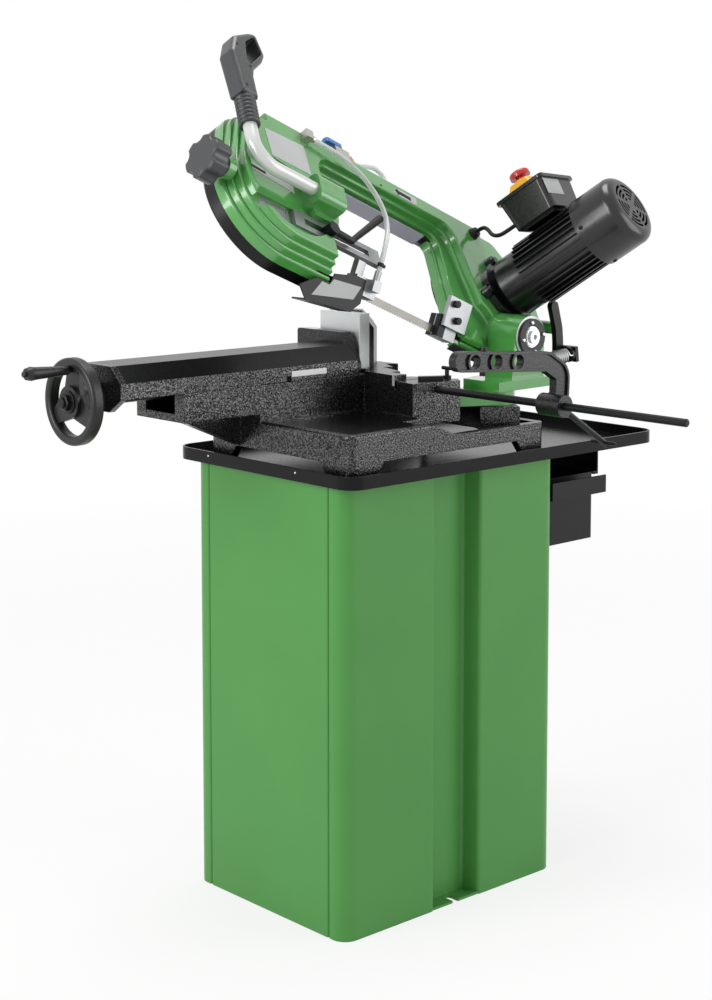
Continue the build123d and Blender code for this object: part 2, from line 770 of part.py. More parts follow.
def vise_slide():
    """Channel casting that rides on the bed, with the end plate that carries the screw."""
    x0 = VISE_X - VISE_WIDTH / 2
    x1 = VISE_X + VISE_WIDTH / 2
    z0 = BED_Z + RUN
    z1 = z0 + SLIDE_HEIGHT
    rear = -JAW_THICKNESS
    slide = block(x0, x1, SLIDE_FRONT_Y, rear, z0, z1)
    slide -= block(x0 + SLIDE_WALL * 2, x1 - SLIDE_WALL * 2, SLIDE_FRONT_Y - 1, rear + 1, z0 - 1, z1 + 1)
    slide -= block(x1 - GIB_DEPTH, x1 + 1, GIB_Y0, GIB_Y1, z0 - 1, z0 + GIB_HEIGHT)
    end = prism_y(end_plate_points(), SLIDE_FRONT_Y - END_PLATE, SLIDE_FRONT_Y)
    end -= rod((VISE_X, SLIDE_FRONT_Y - 20, SCREW_Z), (VISE_X, 0, SCREW_Z), SCREW_D / 2 + FIT)
    return slide + end


def end_plate_points():
    """Eight-sided end plate of the slide, seen along Y."""
    x0 = VISE_X - VISE_WIDTH / 2
    x1 = VISE_X + VISE_WIDTH / 2
    low = BED_Z - END_PLATE_DROP
    mid = BED_Z + RUN
    cover = vise_section(0)
    upper = [(x1, mid), (x1, cover[1][1]), cover[2], cover[3], (x0, cover[0][1]), (x0, mid)]
    return upper + [(x0 + END_PLATE_BEVEL, low), (x1 - END_PLATE_BEVEL, low)]


def vise_cover():
    """Folded sheet cover over the slide."""
    rear = -JAW_THICKNESS
    cover = prism_y(vise_section(0), SLIDE_FRONT_Y, rear)
    return cover - prism_y(vise_section(COVER_SHEET), SLIDE_FRONT_Y - 1, rear + 1)


def moving_jaw():
    """Jaw casting on the slide, with a sloping right shoulder and an arch that passes over the nut."""
    x1 = VISE_X + VISE_WIDTH / 2 - 16
    x0 = x1 - JAW_SIDE
    z0 = BED_Z + RUN
    z1 = z0 + JAW_TOP
    left = x0 - JAW_LEAN
    points = [(x0, z0), (x1, z0), (x1, z0 + 16), (x1 - JAW_LEAN, z1), (left, z1), (left, z0 + 40)]
    jaw = prism_y(points, -JAW_THICKNESS, 0)
    jaw = fillet(jaw.edges().filter_by(Axis.Y).sort_by(Axis.Z)[-2:], 5)
    half = NUT_SIZE / 2 + NUT_ROOM
    top = SCREW_Z + SCREW_D / 2 + NUT_CROWN + NUT_ROOM
    return jaw - block(VISE_X - half, VISE_X + half, -JAW_THICKNESS - 1, 1, z0 - 1, top)


def screw_nut():
    """Nut block in the bed that the vise screw runs through."""
    half = NUT_SIZE / 2
    floor_z = BED_Z - BED_DEPTH + BED_FLOOR
    rear = NUT_Y + NUT_LENGTH
    nut = block(VISE_X - half, VISE_X + half, NUT_Y, rear, floor_z, SCREW_Z + SCREW_D / 2 + NUT_CROWN)
    return nut - rod((VISE_X, NUT_Y - 1, SCREW_Z), (VISE_X, rear + 1, SCREW_Z), SCREW_D / 2 + FIT)


def vise_screw():
    """Screw from the handwheel to the nut."""
    return rod((VISE_X, HANDWHEEL_Y - 4, SCREW_Z), (VISE_X, -JAW_THICKNESS - 8, SCREW_Z), SCREW_D / 2)


def handwheel():
    """Dished wheel: rim, three webs and a hub, with a pin for the crank grip."""
    axis = Plane(origin=(VISE_X, HANDWHEEL_Y, SCREW_Z), x_dir=(1, 0, 0), z_dir=(0, -1, 0))
    rim_r = WHEEL_RIM_D / 2
    rim = Rectangle(WHEEL_RIM_WIDTH, WHEEL_RIM_DEPTH)
    rim = fillet(rim.vertices(), 5)
    rim = Pos(rim_r - WHEEL_RIM_WIDTH / 2, -WHEEL_RIM_DEPTH / 2) * rim
    wheel = revolve(Plane.XZ * rim, Axis.Z)
    reach = rim_r - WHEEL_RIM_WIDTH / 2
    tip = WHEEL_SPOKE_TIP / 2
    web = Polygon((-WHEEL_HUB_R, 0), (WHEEL_HUB_R, 0), (tip, reach), (-tip, reach), align=None)
    for turn in (0, 120, 240):
        wheel += Rot(0, 0, turn) * Pos(0, 0, -WHEEL_DISH) * extrude(web, WHEEL_SPOKE)
    hub_length = SLIDE_FRONT_Y - END_PLATE - RUN - HANDWHEEL_Y
    wheel += Pos(0, 0, -hub_length) * extrude(Circle(WHEEL_HUB_R), hub_length)
    wheel -= Pos(0, 0, -hub_length - 1) * extrude(Circle(SCREW_D / 2), hub_length + 2)
    wheel += Pos(0, CRANK_R, -WHEEL_DISH) * extrude(Circle(CRANK_PIN_D / 2), CRANK_LENGTH + 20)
    return axis.location * wheel


def crank_grip():
    """Turned grip that spins on the handwheel's pin."""
    axis = Plane(origin=(VISE_X, HANDWHEEL_Y, SCREW_Z + CRANK_R), x_dir=(1, 0, 0), z_dir=(0, -1, 0))
    start = 1.0
    profile = Polygon(
        (CRANK_PIN_D / 2 + FIT, start),
        (CRANK_ROOT_D / 2, start),
        (CRANK_D / 2 - 1, CRANK_LENGTH - 14),
        (CRANK_D / 2, CRANK_LENGTH - 8),
        (CRANK_D / 2 - 2, CRANK_LENGTH),
        (CRANK_PIN_D / 2 + FIT, CRANK_LENGTH),
        align=None,
    )
    return axis.location * revolve(Plane.XZ * profile, Axis.Z)


# Length stop

def stop_axis(x):
    """Point on the stop rod's axis."""
    return (x, STOP_ROD_Y, TABLE_Z - STOP_ROD_DROP)


def stop_rod():
    """Round bar with a bevelled free end."""
    bar = rod(stop_axis(STOP_ROD_X0), stop_axis(STOP_ROD_X1), STOP_ROD_D / 2)
    return chamfer(bar.edges().sort_by(Axis.X)[-1:], 1.5)


def stop_arm():
    """Hooked arm on the rod: clamp ring, curved neck and a straight tip with three round holes."""
    x0 = STOP_ARM_X - STOP_ARM_THICKNESS / 2
    y, z = stop_axis(0)[1:]
    root = Vector(y - 8, z + 66)
    tip = Vector(y - 190, z + 79)
    neck = FilletPolyline((y, z), (y + 24, z + 4), (y + 26, z + 46), root, tip, radius=[16, 18, 20])
    side = Plane(origin=(x0, 0, 0), x_dir=(0, 1, 0), z_dir=(1, 0, 0))
    band = make_face(offset(neck, STOP_ARM_WIDTH / 2, side=Side.BOTH).edges())
    arm = extrude(side * band, STOP_ARM_THICKNESS, dir=(1, 0, 0))
    inner = make_face(offset(neck, STOP_ARM_WIDTH / 2 - STOP_ARM_RIM, side=Side.BOTH).edges())
    pocket = (STOP_ARM_THICKNESS - STOP_ARM_WEB) / 2
    for start in (x0 - 1, x0 + STOP_ARM_THICKNESS - pocket):
        face = Plane(origin=(start, 0, 0), x_dir=(0, 1, 0), z_dir=(1, 0, 0)) * inner
        arm -= extrude(face, pocket + 1, dir=(1, 0, 0))
    inward = (root - tip).normalized()
    for reach in (26, 72, 118):
        hole = tip + inward * reach
        near = (x0, hole.X, hole.Y)
        far = (x0 + STOP_ARM_THICKNESS, hole.X, hole.Y)
        arm += ring(near, far, STOP_HOLE_R + STOP_ARM_RIM, STOP_HOLE_R)
        arm -= rod((x0 - 1, hole.X, hole.Y), (far[0] + 1, hole.X, hole.Y), STOP_HOLE_R)
    arm += rod(stop_axis(x0 - 4), stop_axis(STOP_LEVER_X + 12), STOP_CLAMP_D / 2)
    start, end = stop_lever_line()
    arm += rod(stop_axis(STOP_LEVER_X), start, STOP_LEVER_D / 2 + 4)
    return arm - rod(stop_axis(x0 - 20), stop_axis(x0 + 60), STOP_ROD_D / 2 + FIT)


def stop_lever_line():
    """Ends of the clamp lever's stem, below and behind the rod."""
    x, y, z = stop_axis(STOP_LEVER_X)
    reach = STOP_CLAMP_D / 2 + 4
    far = reach + STOP_LEVER_LENGTH
    return (x, y + 0.84 * reach, z - 0.54 * reach), (x, y + 0.84 * far, z - 0.54 * far)


def stop_lever():
    """Clamp screw with a cross pin through its end."""
    start, end = stop_lever_line()
    stem = rod(start, end, STOP_LEVER_D / 2)
    near = Vector(*end) - (Vector(*end) - Vector(*start)).normalized() * 10
    return stem + rod((near.X - 24, near.Y, near.Z), (near.X + 24, near.Y, near.Z), STOP_LEVER_D / 2 - 1.5)


# Mitre scale pointer and lock on the table

def angle_pointer():
    """Wedge on the table that shows the mitre angle."""
    z = TABLE_Z - OUTFEED_DROP
    x = SWIVEL_X + 14
    y = SWIVEL_Y
    return prism_z([(x, y + 2), (x + 9, y - 6), (x + 30, y + 30), (x + 22, y + 36)], z, z + POINTER_HEIGHT)


def lock_point():
    """Foot of the mitre lock on the table block's rear shoulder."""
    return SWIVEL_X + 30, SWIVEL_Y + 52, TABLE_Z - OUTFEED_DROP


def angle_lock():
    """T-shaped lock screw."""
    x, y, z = lock_point()
    screw = rod((x, y, z + RUN), (x, y, z + 5), 7) + rod((x, y, z + 4), (x, y, z + 16), 3.5)
    return screw + rod((x - 10, y, z + 17), (x + 10, y, z + 17), 3)


# Swivel bracket

def swivel_bracket():
    """Arm from the swivel pin to a hub on the arc pad, and the column that ends in the bow's bearing."""
    z0 = SEAT_Z + ARM_Z0
    z1 = z0 + ARM_THICKNESS
    arm = extrude(Pos(0, 0, z0) * arm_plan(0, 1), ARM_THICKNESS)
    arm += rod((HUB_X, HUB_Y, z0 - ARM_GAP + RUN), (HUB_X, HUB_Y, z1), HUB_R)
    arm -= rod((SWIVEL_X, SWIVEL_Y, z0 - 1), (SWIVEL_X, SWIVEL_Y, z1 + 1), SWIVEL_PIN_D / 2 + FIT)
    flange = prism_z(
        [
            (HUB_X - 40, HUB_Y - 28),
            (HUB_X + 40, HUB_Y - 28),
            (HUB_X + 34, PIVOT_Y + HOUSING_D / 2),
            (HOUSING_X0, PIVOT_Y + HOUSING_D / 2),
            (HOUSING_X0 - 6, HUB_Y + 10),
        ],
        z1,
        z1 + 16,
    )
    half = HOUSING_D / 2
    foot = z1 + 8
    column = prism_x(
        [
            (PIVOT_Y - half - COLUMN_FLARE, foot),
            (PIVOT_Y + half, foot),
            (PIVOT_Y + half, PIVOT_Z),
            (PIVOT_Y - half, PIVOT_Z),
        ],
        HOUSING_X0,
        HOUSING_X1 - 2,
    )
    housing = rod((HOUSING_X0, PIVOT_Y, PIVOT_Z), (HOUSING_X1, PIVOT_Y, PIVOT_Z), half)
    bracket = arm + flange + column + housing
    bracket += rod(spring_foot(), spring_end(0), SPRING_R + SPRING_WIRE / 2)
    bore = PIVOT_SHAFT_D / 2 + FIT
    return bracket - rod((HOUSING_X0 - 1, PIVOT_Y, PIVOT_Z), (HOUSING_X1 + 1, PIVOT_Y, PIVOT_Z), bore)


def pivot_cap():
    """Black ring that closes the bearing's outer end."""
    start = (HOUSING_X1, PIVOT_Y, PIVOT_Z)
    end = (HOUSING_X1 + CAP_THICKNESS, PIVOT_Y, PIVOT_Z)
    return ring(start, end, CAP_D / 2, CAP_D / 2 - CAP_RING)


def pivot_shaft():
    """Shaft of the bow's hinge, with a collar on its outer end, stepped and centre-drilled."""
    x1 = HOUSING_X1 + RUN
    x2 = HOUSING_X1 + CAP_THICKNESS + 1
    x3 = x2 + SHAFT_STEP
    shaft = rod((SHAFT_X0, PIVOT_Y, PIVOT_Z), (x2, PIVOT_Y, PIVOT_Z), PIVOT_SHAFT_D / 2)
    shaft += rod((x1, PIVOT_Y, PIVOT_Z), (x2 - 2, PIVOT_Y, PIVOT_Z), CAP_D / 2 - CAP_RING - 0.5)
    shaft += rod((x2 - 1, PIVOT_Y, PIVOT_Z), (x3, PIVOT_Y, PIVOT_Z), SHAFT_STEP_R)
    return shaft - rod((x2, PIVOT_Y, PIVOT_Z), (x3 + 1, PIVOT_Y, PIVOT_Z), SHAFT_CENTRE_R)


# Counterbalance spring

def spring_foot():
    """Centre of the spring's seat on the bracket column."""
    return (SPRING_X, PIVOT_Y + HOUSING_D / 2 - 2, PIVOT_Z - SPRING_DROP)


def spring_end(which):
    """Face of the spring's seat on the bracket (0) or on the bow's tail lever (1)."""
    along = Vector(0, math.cos(math.radians(SPRING_TILT)), math.sin(math.radians(SPRING_TILT)))
    point = Vector(*spring_foot()) + along * (SPRING_SEAT + SPRING_LENGTH * which)
    return (point.X, point.Y, point.Z)


def biarc(start, tangent, end, end_tangent):
    """Two arcs that meet smoothly between two points with given directions."""
    chord = end - start
    both = tangent + end_tangent
    spread = 2 * (1 - tangent.dot(end_tangent))
    reach = chord.dot(both)
    step = (math.sqrt(reach * reach + spread * chord.dot(chord)) - reach) / spread
    first = start + tangent * step
    last = end - end_tangent * step
    middle = (first + last) * 0.5
    turn = (last - first).normalized()
    return [TangentArc(start, middle, tangent=tangent), TangentArc(middle, end, tangent=turn)]


def lift_spring():
    """Tension spring: one wire with its coils, drawn straight into a seat at each end."""
    quarter = math.pi / 2
    rise = SPRING_PITCH / (2 * math.pi)
    slant = math.hypot(SPRING_R, rise)
    lead = (SPRING_LENGTH - SPRING_COILS * SPRING_PITCH) / 2
    straight = SPRING_WIRE

    def at(angle):
        return Vector(SPRING_R * math.cos(angle), SPRING_R * math.sin(angle), lead + rise * angle)

    def way(angle):
        return Vector(-SPRING_R * math.sin(angle), SPRING_R * math.cos(angle), rise) / slant

    axis = Vector(0, 0, 1)
    sweep_end = SPRING_COILS * 2 * math.pi
    lead_turn = 0.5
    foot = Vector(SPRING_R * math.cos(lead_turn), -SPRING_R * math.sin(lead_turn), straight)
    head = Vector(
        SPRING_R * math.cos(sweep_end + lead_turn),
        SPRING_R * math.sin(sweep_end + lead_turn),
        SPRING_LENGTH - straight,
    )
    edges = [Line(foot - axis * straight, foot)] + biarc(foot, axis, at(0), way(0))
    for step in range(SPRING_COILS * 4):
        here = step * quarter
        after = (step + 1) * quarter
        edges += biarc(at(here), way(here), at(after), way(after))
    edges += biarc(at(sweep_end), way(sweep_end), head, axis) + [Line(head, head + axis * straight)]
    path = Wire(edges)
    coil = sweep(Plane(origin=path @ 0, z_dir=axis) * Circle(SPRING_WIRE / 2), path=path)
    samples = [path @ (step / 900) for step in range(901)]
    apart = 40
    least = min(
        (samples[i] - samples[j]).length for i in range(len(samples)) for j in range(i + apart, len(samples))
    )
    print("spring self gap", round(least - SPRING_WIRE, 2))
    base = Vector(*spring_end(0))
    place = Plane(origin=base, x_dir=(1, 0, 0), z_dir=Vector(*spring_end(1)) - base)
    return place.location * coil


def spring_bolt():
    """Seat disc, bolt through the tail lever's lug and its round head."""
    head = TAIL_SEAT + TAIL_LUG
    bolt = Cylinder(SPRING_R + SPRING_WIRE / 2, TAIL_SEAT, align=UPRIGHT)
    bolt += Cylinder(TAIL_BOLT_D / 2, head + TAIL_HEAD, align=UPRIGHT)
    knob = Cylinder(TAIL_BOLT_D / 2 + 3, TAIL_HEAD, align=UPRIGHT)
    bolt += Pos(0, 0, head) * fillet(knob.edges().sort_by(Axis.Z)[-1:], 3)
    return tail_frame().location * bolt


def tail_frame():
    """Plane on the spring's rear end: x along X, z out along the spring."""
    base = Vector(*spring_end(0))
    seat = Vector(*spring_end(1))
    return Plane(origin=seat, x_dir=(1, 0, 0), z_dir=seat - base)


def tail_points():
    """Middle line of the tail lever, as (y, z) points from the spring up to the bow."""
    seat = Vector(*spring_end(1))
    y, z = seat.Y - 3, seat.Z
    return [(y, z - TAIL_LUG_HALF), (y, z + 20), (y - 2, z + 44), (y - 13, z + 82)]


def tail_lever():
    """Black lever beside the spring, with a bent lug at its foot that the spring pulls on."""
    path = FilletPolyline(*tail_points(), radius=[60, 60])
    side = Plane(origin=(TAIL_X - TAIL_THICKNESS / 2, 0, 0), x_dir=(0, 1, 0), z_dir=(1, 0, 0))
    band = make_face(offset(path, TAIL_WIDTH / 2, side=Side.BOTH).edges())
    lever = extrude(side * band, TAIL_THICKNESS, dir=(1, 0, 0))
    x0 = TAIL_X - TAIL_THICKNESS / 2 - SPRING_X
    half = TAIL_LUG_HALF
    end = TAIL_SEAT + TAIL_LUG
    lug = block(x0, half, -half, half, TAIL_SEAT, end)
    lug += block(x0, x0 + TAIL_THICKNESS, -half, half, 0, end)
    lug -= Cylinder(TAIL_BOLT_D / 2 + FIT, 4 * end)
    return lever + tail_frame().location * lug


# Bow

def bow_spot(u, v, n=0.0):
    """Place in the bow, with u measured forward along the blade."""
    return Pos(-u, v, n)


def bow_block(u0, u1, v0, v1, n0, n1):
    """Box in the bow's plane."""
    return block(-u1, -u0, v0, v1, n0, n1)


def bow_bar(start, end, radius, end_radius=None):
    """Round bar in the bow's plane between two (u, v, n) points."""
    return rod((-start[0], start[1], start[2]), (-end[0], end[1], end[2]), radius, end_radius)


def bow_prism(points, n0, n1):
    """Polygon of (u, v) points drawn out along the axles."""
    return prism_z([(-u, v) for u, v in points], n0, n1)


def bow_patch(u0, u1, v0, v1):
    """Flat rectangle in the bow's plane."""
    return Pos(-(u0 + u1) / 2, (v0 + v1) / 2) * Rectangle(u1 - u0, v1 - v0)


def rounded_end(u, v, radius, crown_u):
    """Wheel disc hulled with the round corner above it."""
    crown_r = (BEAM_TOP - BEAM_BOTTOM) * 0.9
    crown = bow_spot(crown_u, BEAM_TOP - crown_r) * Circle(crown_r)
    return make_hull((bow_spot(u, v) * Circle(radius)).edges() + crown.edges())


def bow_outline(column_flat=False):
    """C-shaped outline: front ring, beam, lower jaw, rear ring and column, less the column's flat if asked."""
    bottom = WHEEL_R - BOW_R
    outline = rounded_end(DRIVE_U, WHEEL_R, BOW_R, DRIVE_U - 6)
    outline += bow_patch(DRIVE_U, COLUMN_U, bottom, BEAM_TOP)
    if column_flat:
        flat = Polygon((-45, -40), (-45, 39), (-67, 52), (-102, 218), (-200, 218), (-200, -40), align=None)
        outline -= fillet(flat.vertices().filter_by_position(Axis.Y, 30, 60), FLAT_ROUND)
    outline += rounded_end(IDLER_U, WHEEL_R, BOW_R, IDLER_U + 52)
    outline += bow_patch(DRIVE_U, IDLER_U + 40, BEAM_BOTTOM, BEAM_TOP)
    outline += bow_patch(JAW_END_U, IDLER_U, bottom, BEAM_TOP)
    under_beam = [p for p in outline.vertices() if abs(p.Y - BEAM_BOTTOM) < 0.01]
    corners = [p for p in under_beam if -JAW_END_U - 1 < p.X < -COLUMN_U / 2]
    return fillet(corners, THROAT_R)


def tier(outline, inset, n0, n1):
    """One step of the casting's stepped wall, with a rounded top edge."""
    face = offset(outline, -inset) if inset else outline
    step = Pos(0, 0, n0) * extrude(face, n1 - n0)
    return fillet(step.faces().sort_by(Axis.Z)[-1].edges(), TIER_ROUND)


def bow_casting():
    """Cast bow: stepped C-shaped walls over a wheel well, guideway, handle lug and hinge boss."""
    outline = bow_outline()
    rise = (BOW_FACE_N - BOW_STEP_N) / 3
    casting = tier(outline, 0, BOW_PART_N, BOW_STEP_N)
    for step in (1, 2, 3):
        top = BOW_STEP_N + rise * step
        casting += tier(bow_outline(step > 1), TIER_INSET * step, top - rise - TIER_ROUND - 1, top)
    casting += beam_crest()
    casting -= Pos(0, 0, BOW_PART_N) * extrude(offset(outline, -BOW_WALL), BOW_WEB_N - BOW_PART_N)
    below = BOW_PART_N - 1
    throat_v1 = BEAM_BOTTOM + BOW_WALL + 1
    casting -= bow_block(
        COLUMN_U - THROAT_R, JAW_END_U + THROAT_R, BEAM_BOTTOM - 3, throat_v1, below, BOW_WEB_N
    )
    for u0, u1 in ((TWIST_REAR_U0 + 10, COLUMN_U + 1), (JAW_END_U - 1, JAW_END_U + 30)):
        casting -= bow_block(u0, u1, BLADE_SLOT_V, -BLADE_SLOT_V, below, BOW_WEB_N)
    casting -= front_floor()
    casting += handle_lug()
    casting -= guideway()
    boss_u = IDLER_U + BOW_R - BOW_WALL + 2
    casting += bow_bar((boss_u, TENSION_V, TENSION_N), (TENSION_U, TENSION_V, TENSION_N), TENSION_BOSS_R)
    casting -= tension_bores()
    casting -= bow_bar((DRIVE_U, WHEEL_R, 0), (DRIVE_U, WHEEL_R, BOW_FACE_N + 9), DRIVE_SHAFT_D / 2 + FIT)
    casting -= rear_guide_room()
    casting -= hinge_room()
    return BOW.location * casting + hinge_boss() + tail_post() - hinge_bore()


def front_floor():
    """Sunk floor inside the front ring, beside the raised shelf that carries the plate."""
    floor = bow_spot(IDLER_U, WHEEL_R, FRONT_FLOOR_N) * extrude(Circle(BOW_R - FLOOR_INSET), BOW_FACE_N)
    u = JAW_END_U - 1
    shelf = [(u, 260), (u, 66), (448, 66), (470, 138), (545, 150), (575, 190), (575, 260)]
    return floor - bow_prism(shelf, 0, 2 * BOW_FACE_N)


def beam_crest():
    """Flat top of the beam, square to the stepped walls, with a rounded front edge."""
    low = BEAM_TOP - 3 * TIER_INSET - TIER_ROUND - 2
    crest = bow_block(CREST_U0, CREST_U1, low, BEAM_TOP, BOW_STEP_N - 5, BOW_FACE_N)
    return fillet(crest.edges().filter_by(Axis.X).sort_by(Axis.Y)[-2:].sort_by(Axis.Z)[-1:], TIER_ROUND)


def handle_lug():
    """Rounded block on the front shelf that holds the handle tube."""
    v0 = HANDLE_V - 24
    v1 = HANDLE_V + 26
    lug = bow_block(JAW_END_U + 6, HANDLE_SOCKET_U, v0, v1, FRONT_FLOOR_N - 4, HANDLE_N + 15)
    lug = fillet(lug.edges().filter_by(Axis.X).sort_by(Axis.Z)[-2:], 12)
    deep = (HANDLE_SOCKET_U - HANDLE_DEPTH - 2, HANDLE_V, HANDLE_N)
    return lug - bow_bar(deep, (HANDLE_SOCKET_U + 1, HANDLE_V, HANDLE_N), HANDLE_D / 2)


def guideway():
    """Milled channel across the front ring for the guide bar, round at its front end."""
    half = GUIDE_BAR_WIDTH / 2 + RUN
    v = GUIDEWAY_V
    cut = bow_block(JAW_END_U - 30, GUIDEWAY_U, v - half, v + half, GUIDE_FLOOR_N, HANDLE_N + 40)
    cut += bow_bar((GUIDEWAY_U, v, GUIDE_FLOOR_N), (GUIDEWAY_U, v, BOW_FACE_N + 9), half)
    return cut + bow_bar((CLAMP_U, v, BOW_WEB_N), (CLAMP_U, v, BOW_FACE_N), CLAMP_SCREW_D / 2 + FIT)


def tension_bores():
    """Room for the idler block and the slack wheel, and the bore of the tension screw."""
    u0 = IDLER_U - IDLER_BLOCK / 2 - IDLER_TRAVEL - RUN
    u1 = IDLER_U + IDLER_BLOCK / 2 + 4
    half = IDLER_BLOCK / 2 + FIT
    window = bow_block(u0, u1, WHEEL_R - half, WHEEL_R + half, BOW_WEB_N - 1, IDLER_TOP_N + RUN)
    slack_u = IDLER_U - IDLER_TRAVEL
    window += bow_bar((slack_u, WHEEL_R, BOW_PART_N - 1), (slack_u, WHEEL_R, BOW_WEB_N), WHEEL_R + 2)
    screw = TENSION_SCREW_D / 2 + FIT
    return window + bow_bar((IDLER_U, TENSION_V, TENSION_N), (TENSION_U + 9, TENSION_V, TENSION_N), screw)


def cut_to_bow(shape):
    """Moves a shape from the cut plane to the bow's plane."""
    return BOW.location.inverse() * CUT.location * shape


def rear_guide_room():
    """Notch at the column's foot for the rear blade guide."""
    return cut_to_bow(bow_block(REAR_GUIDE_U0 - 1, COLUMN_U + 9, -60, REAR_GUIDE_W1 + 1, GUIDE_HALF, 120))


def hinge_room():
    """Clearance beside the bracket's bearing and column over the bow's whole swing."""
    x0 = HOUSING_X0 - SWIVEL_X - 2
    return cut_to_bow(bow_block(-100, 46, -90, BLADE_DROP + HOUSING_D / 2 + 5, x0, 200))


def hinge_boss():
    """Bow's half of the hinge, up against the bracket's bearing."""
    boss = rod((SWIVEL_X - 16, PIVOT_Y, PIVOT_Z), (HOUSING_X0 - RUN, PIVOT_Y, PIVOT_Z), HOUSING_D / 2)
    return boss - BOW.location * bow_block(-200, 200, -200, 200, -200, BOW_WEB_N)


def hinge_relief():
    """Room round the bearing that the motor's flange is cut back for."""
    return rod((0, PIVOT_Y, PIVOT_Z), (2 * HOUSING_X1, PIVOT_Y, PIVOT_Z), HOUSING_D / 2 + 2)


def hinge_bore():
    """Seat of the pivot shaft in the bow."""
    return rod((SHAFT_X0, PIVOT_Y, PIVOT_Z), (HOUSING_X0 + 1, PIVOT_Y, PIVOT_Z), PIVOT_SHAFT_D / 2)


def tail_post():
    """Arm from the bow's rear to the tail lever."""
    y, z = tail_points()[2]
    return rod((SWIVEL_X - 18, y, z), (TAIL_X - TAIL_THICKNESS / 2, y, z), 11)


def front_cover():
    """Black cover over the front wheel: a tray with an open face to the casting."""
    outline = bow_outline() & bow_patch(COVER_END_U, 2 * IDLER_U, -BOW_R, 2 * BOW_R + 90)
    depth = BOW_PART_N - RUN - COVER_N
    tray = extrude(outline, depth)
    tray = fillet(tray.faces().sort_by(Axis.Z)[0].edges(), 5)
    tray -= Pos(0, 0, COVER_WALL) * extrude(offset(outline, -COVER_WALL), depth)
    tray -= bow_block(JAW_END_U - 9, JAW_END_U + 30, -60, 40, COVER_WALL + 8, depth + 9)
    return BOW.location * Pos(0, 0, COVER_N) * tray


def rear_cover():
    """Flat black lid over the drive wheel."""
    outline = offset(rounded_end(DRIVE_U, WHEEL_R, BOW_R, DRIVE_U - 6), -2)
    return BOW.location * Pos(0, 0, BOW_PART_N - RUN - COVER_WALL) * extrude(outline, COVER_WALL)


def return_guard():
    """Light angle that covers the blade's return run from behind and from below."""
    n0 = BOW_PART_N - RUN - GUARD_SHEET
    u1 = COVER_END_U - RUN
    back = bow_block(GUARD_END_U, u1, BEAM_BOTTOM, BEAM_TOP - 4, n0, BOW_PART_N - RUN)
    lip_u0 = COLUMN_U + THROAT_R + 2
    lip = bow_block(lip_u0, u1 - THROAT_R, BEAM_BOTTOM - GUARD_SHEET, BEAM_BOTTOM, n0, GUARD_LIP_N)
    return BOW.location * (back + lip)


def chip_deflector():
    """Dark plate under the column that throws chips back to the tray."""
    v1 = WHEEL_R - BOW_R - RUN
    return BOW.location * bow_block(-30, COLUMN_U - 2, v1 - 2, v1, DEFLECTOR_N, HINGE_CLEAR_N)


def blade_section(u, turn):
    """Blade's cross section at a place along its lower run, turned from flat towards upright."""
    middle = Plane(origin=(-u, -BLADE_THICKNESS / 2, 0), x_dir=(0, 0, 1), z_dir=(-1, 0, 0))
    return middle * Rot(0, 0, turn) * Rectangle(BLADE_WIDTH, BLADE_THICKNESS)


def saw_blade():
    """Endless band round both wheels, twisted upright between the guides, with teeth on the free run."""
    half = BLADE_WIDTH / 2
    inner = WHEEL_R
    outer = WHEEL_R + BLADE_THICKNESS
    blade = bow_block(DRIVE_U, IDLER_U, WHEEL_R + inner, WHEEL_R + outer, -half, half)
    for u, side in ((DRIVE_U, 1), (IDLER_U, -1)):
        bend = bow_spot(u, WHEEL_R, -half) * extrude(Circle(outer) - Circle(inner), BLADE_WIDTH)
        keep = Pos(-u + side * WHEEL_D / 2, WHEEL_R, 0) * Box(WHEEL_D, 2 * WHEEL_D, WHEEL_D)
        blade += bend & keep
    upright = 90 - BOW_TILT
    blade += bow_block(TWIST_FRONT_U1, IDLER_U, -BLADE_THICKNESS, 0, -half, half)
    blade += bow_block(DRIVE_U, TWIST_REAR_U0, -BLADE_THICKNESS, 0, -half, half)
    blade += twisted(TWIST_FRONT_U1, TWIST_FRONT_U0, upright)
    blade += twisted(TWIST_REAR_U0, TWIST_REAR_U1, upright)
    run = extrude(blade_section(TWIST_REAR_U1, upright), TWIST_FRONT_U0 - TWIST_REAR_U1, dir=(-1, 0, 0))
    return BOW.location * (blade + run) - teeth()


def twisted(u0, u1, upright):
    """Stretch where the blade turns from flat at u0 to upright at u1."""
    sections = []
    for step in range(4):
        share = step / 3
        sections.append(blade_section(u0 + (u1 - u0) * share, upright * share))
    return loft(sections, ruled=True)


def teeth():
    """Gullets along the lower edge of the upright run."""
    edge = -BLADE_WIDTH / 2 - BLADE_THICKNESS * COS_TILT / 2
    cuts = []
    u = TWIST_REAR_U1 + 10
    while u < TWIST_FRONT_U0 - 12:
        points = [(-u, edge - 1), (-u, edge + TOOTH_DEPTH), (-u - TOOTH_PITCH * 0.8, edge - 1)]
        cuts.append(CUT.location * prism_z(points, -5, 5))
        u += TOOTH_PITCH
    return cuts


def band_wheel(u):
    """Cast wheel for the band: rim, web with five holes and hub, bored for its shaft."""
    half = WHEEL_WIDTH / 2
    wheel = Circle(WHEEL_R - RUN / 10) - Circle(WHEEL_R - WHEEL_RIM)
    rim = Pos(0, 0, -half) * extrude(wheel, WHEEL_WIDTH)
    web = Circle(WHEEL_R - WHEEL_RIM + 1)
    for spot in PolarLocations(WHEEL_R * 0.58, 5):
        web -= spot * Circle(WHEEL_HOLE_R)
    body = rim + Pos(0, 0, -4) * extrude(web, 8) + Pos(0, 0, -half) * extrude(Circle(26), WHEEL_WIDTH)
    return bow_spot(u, WHEEL_R) * body


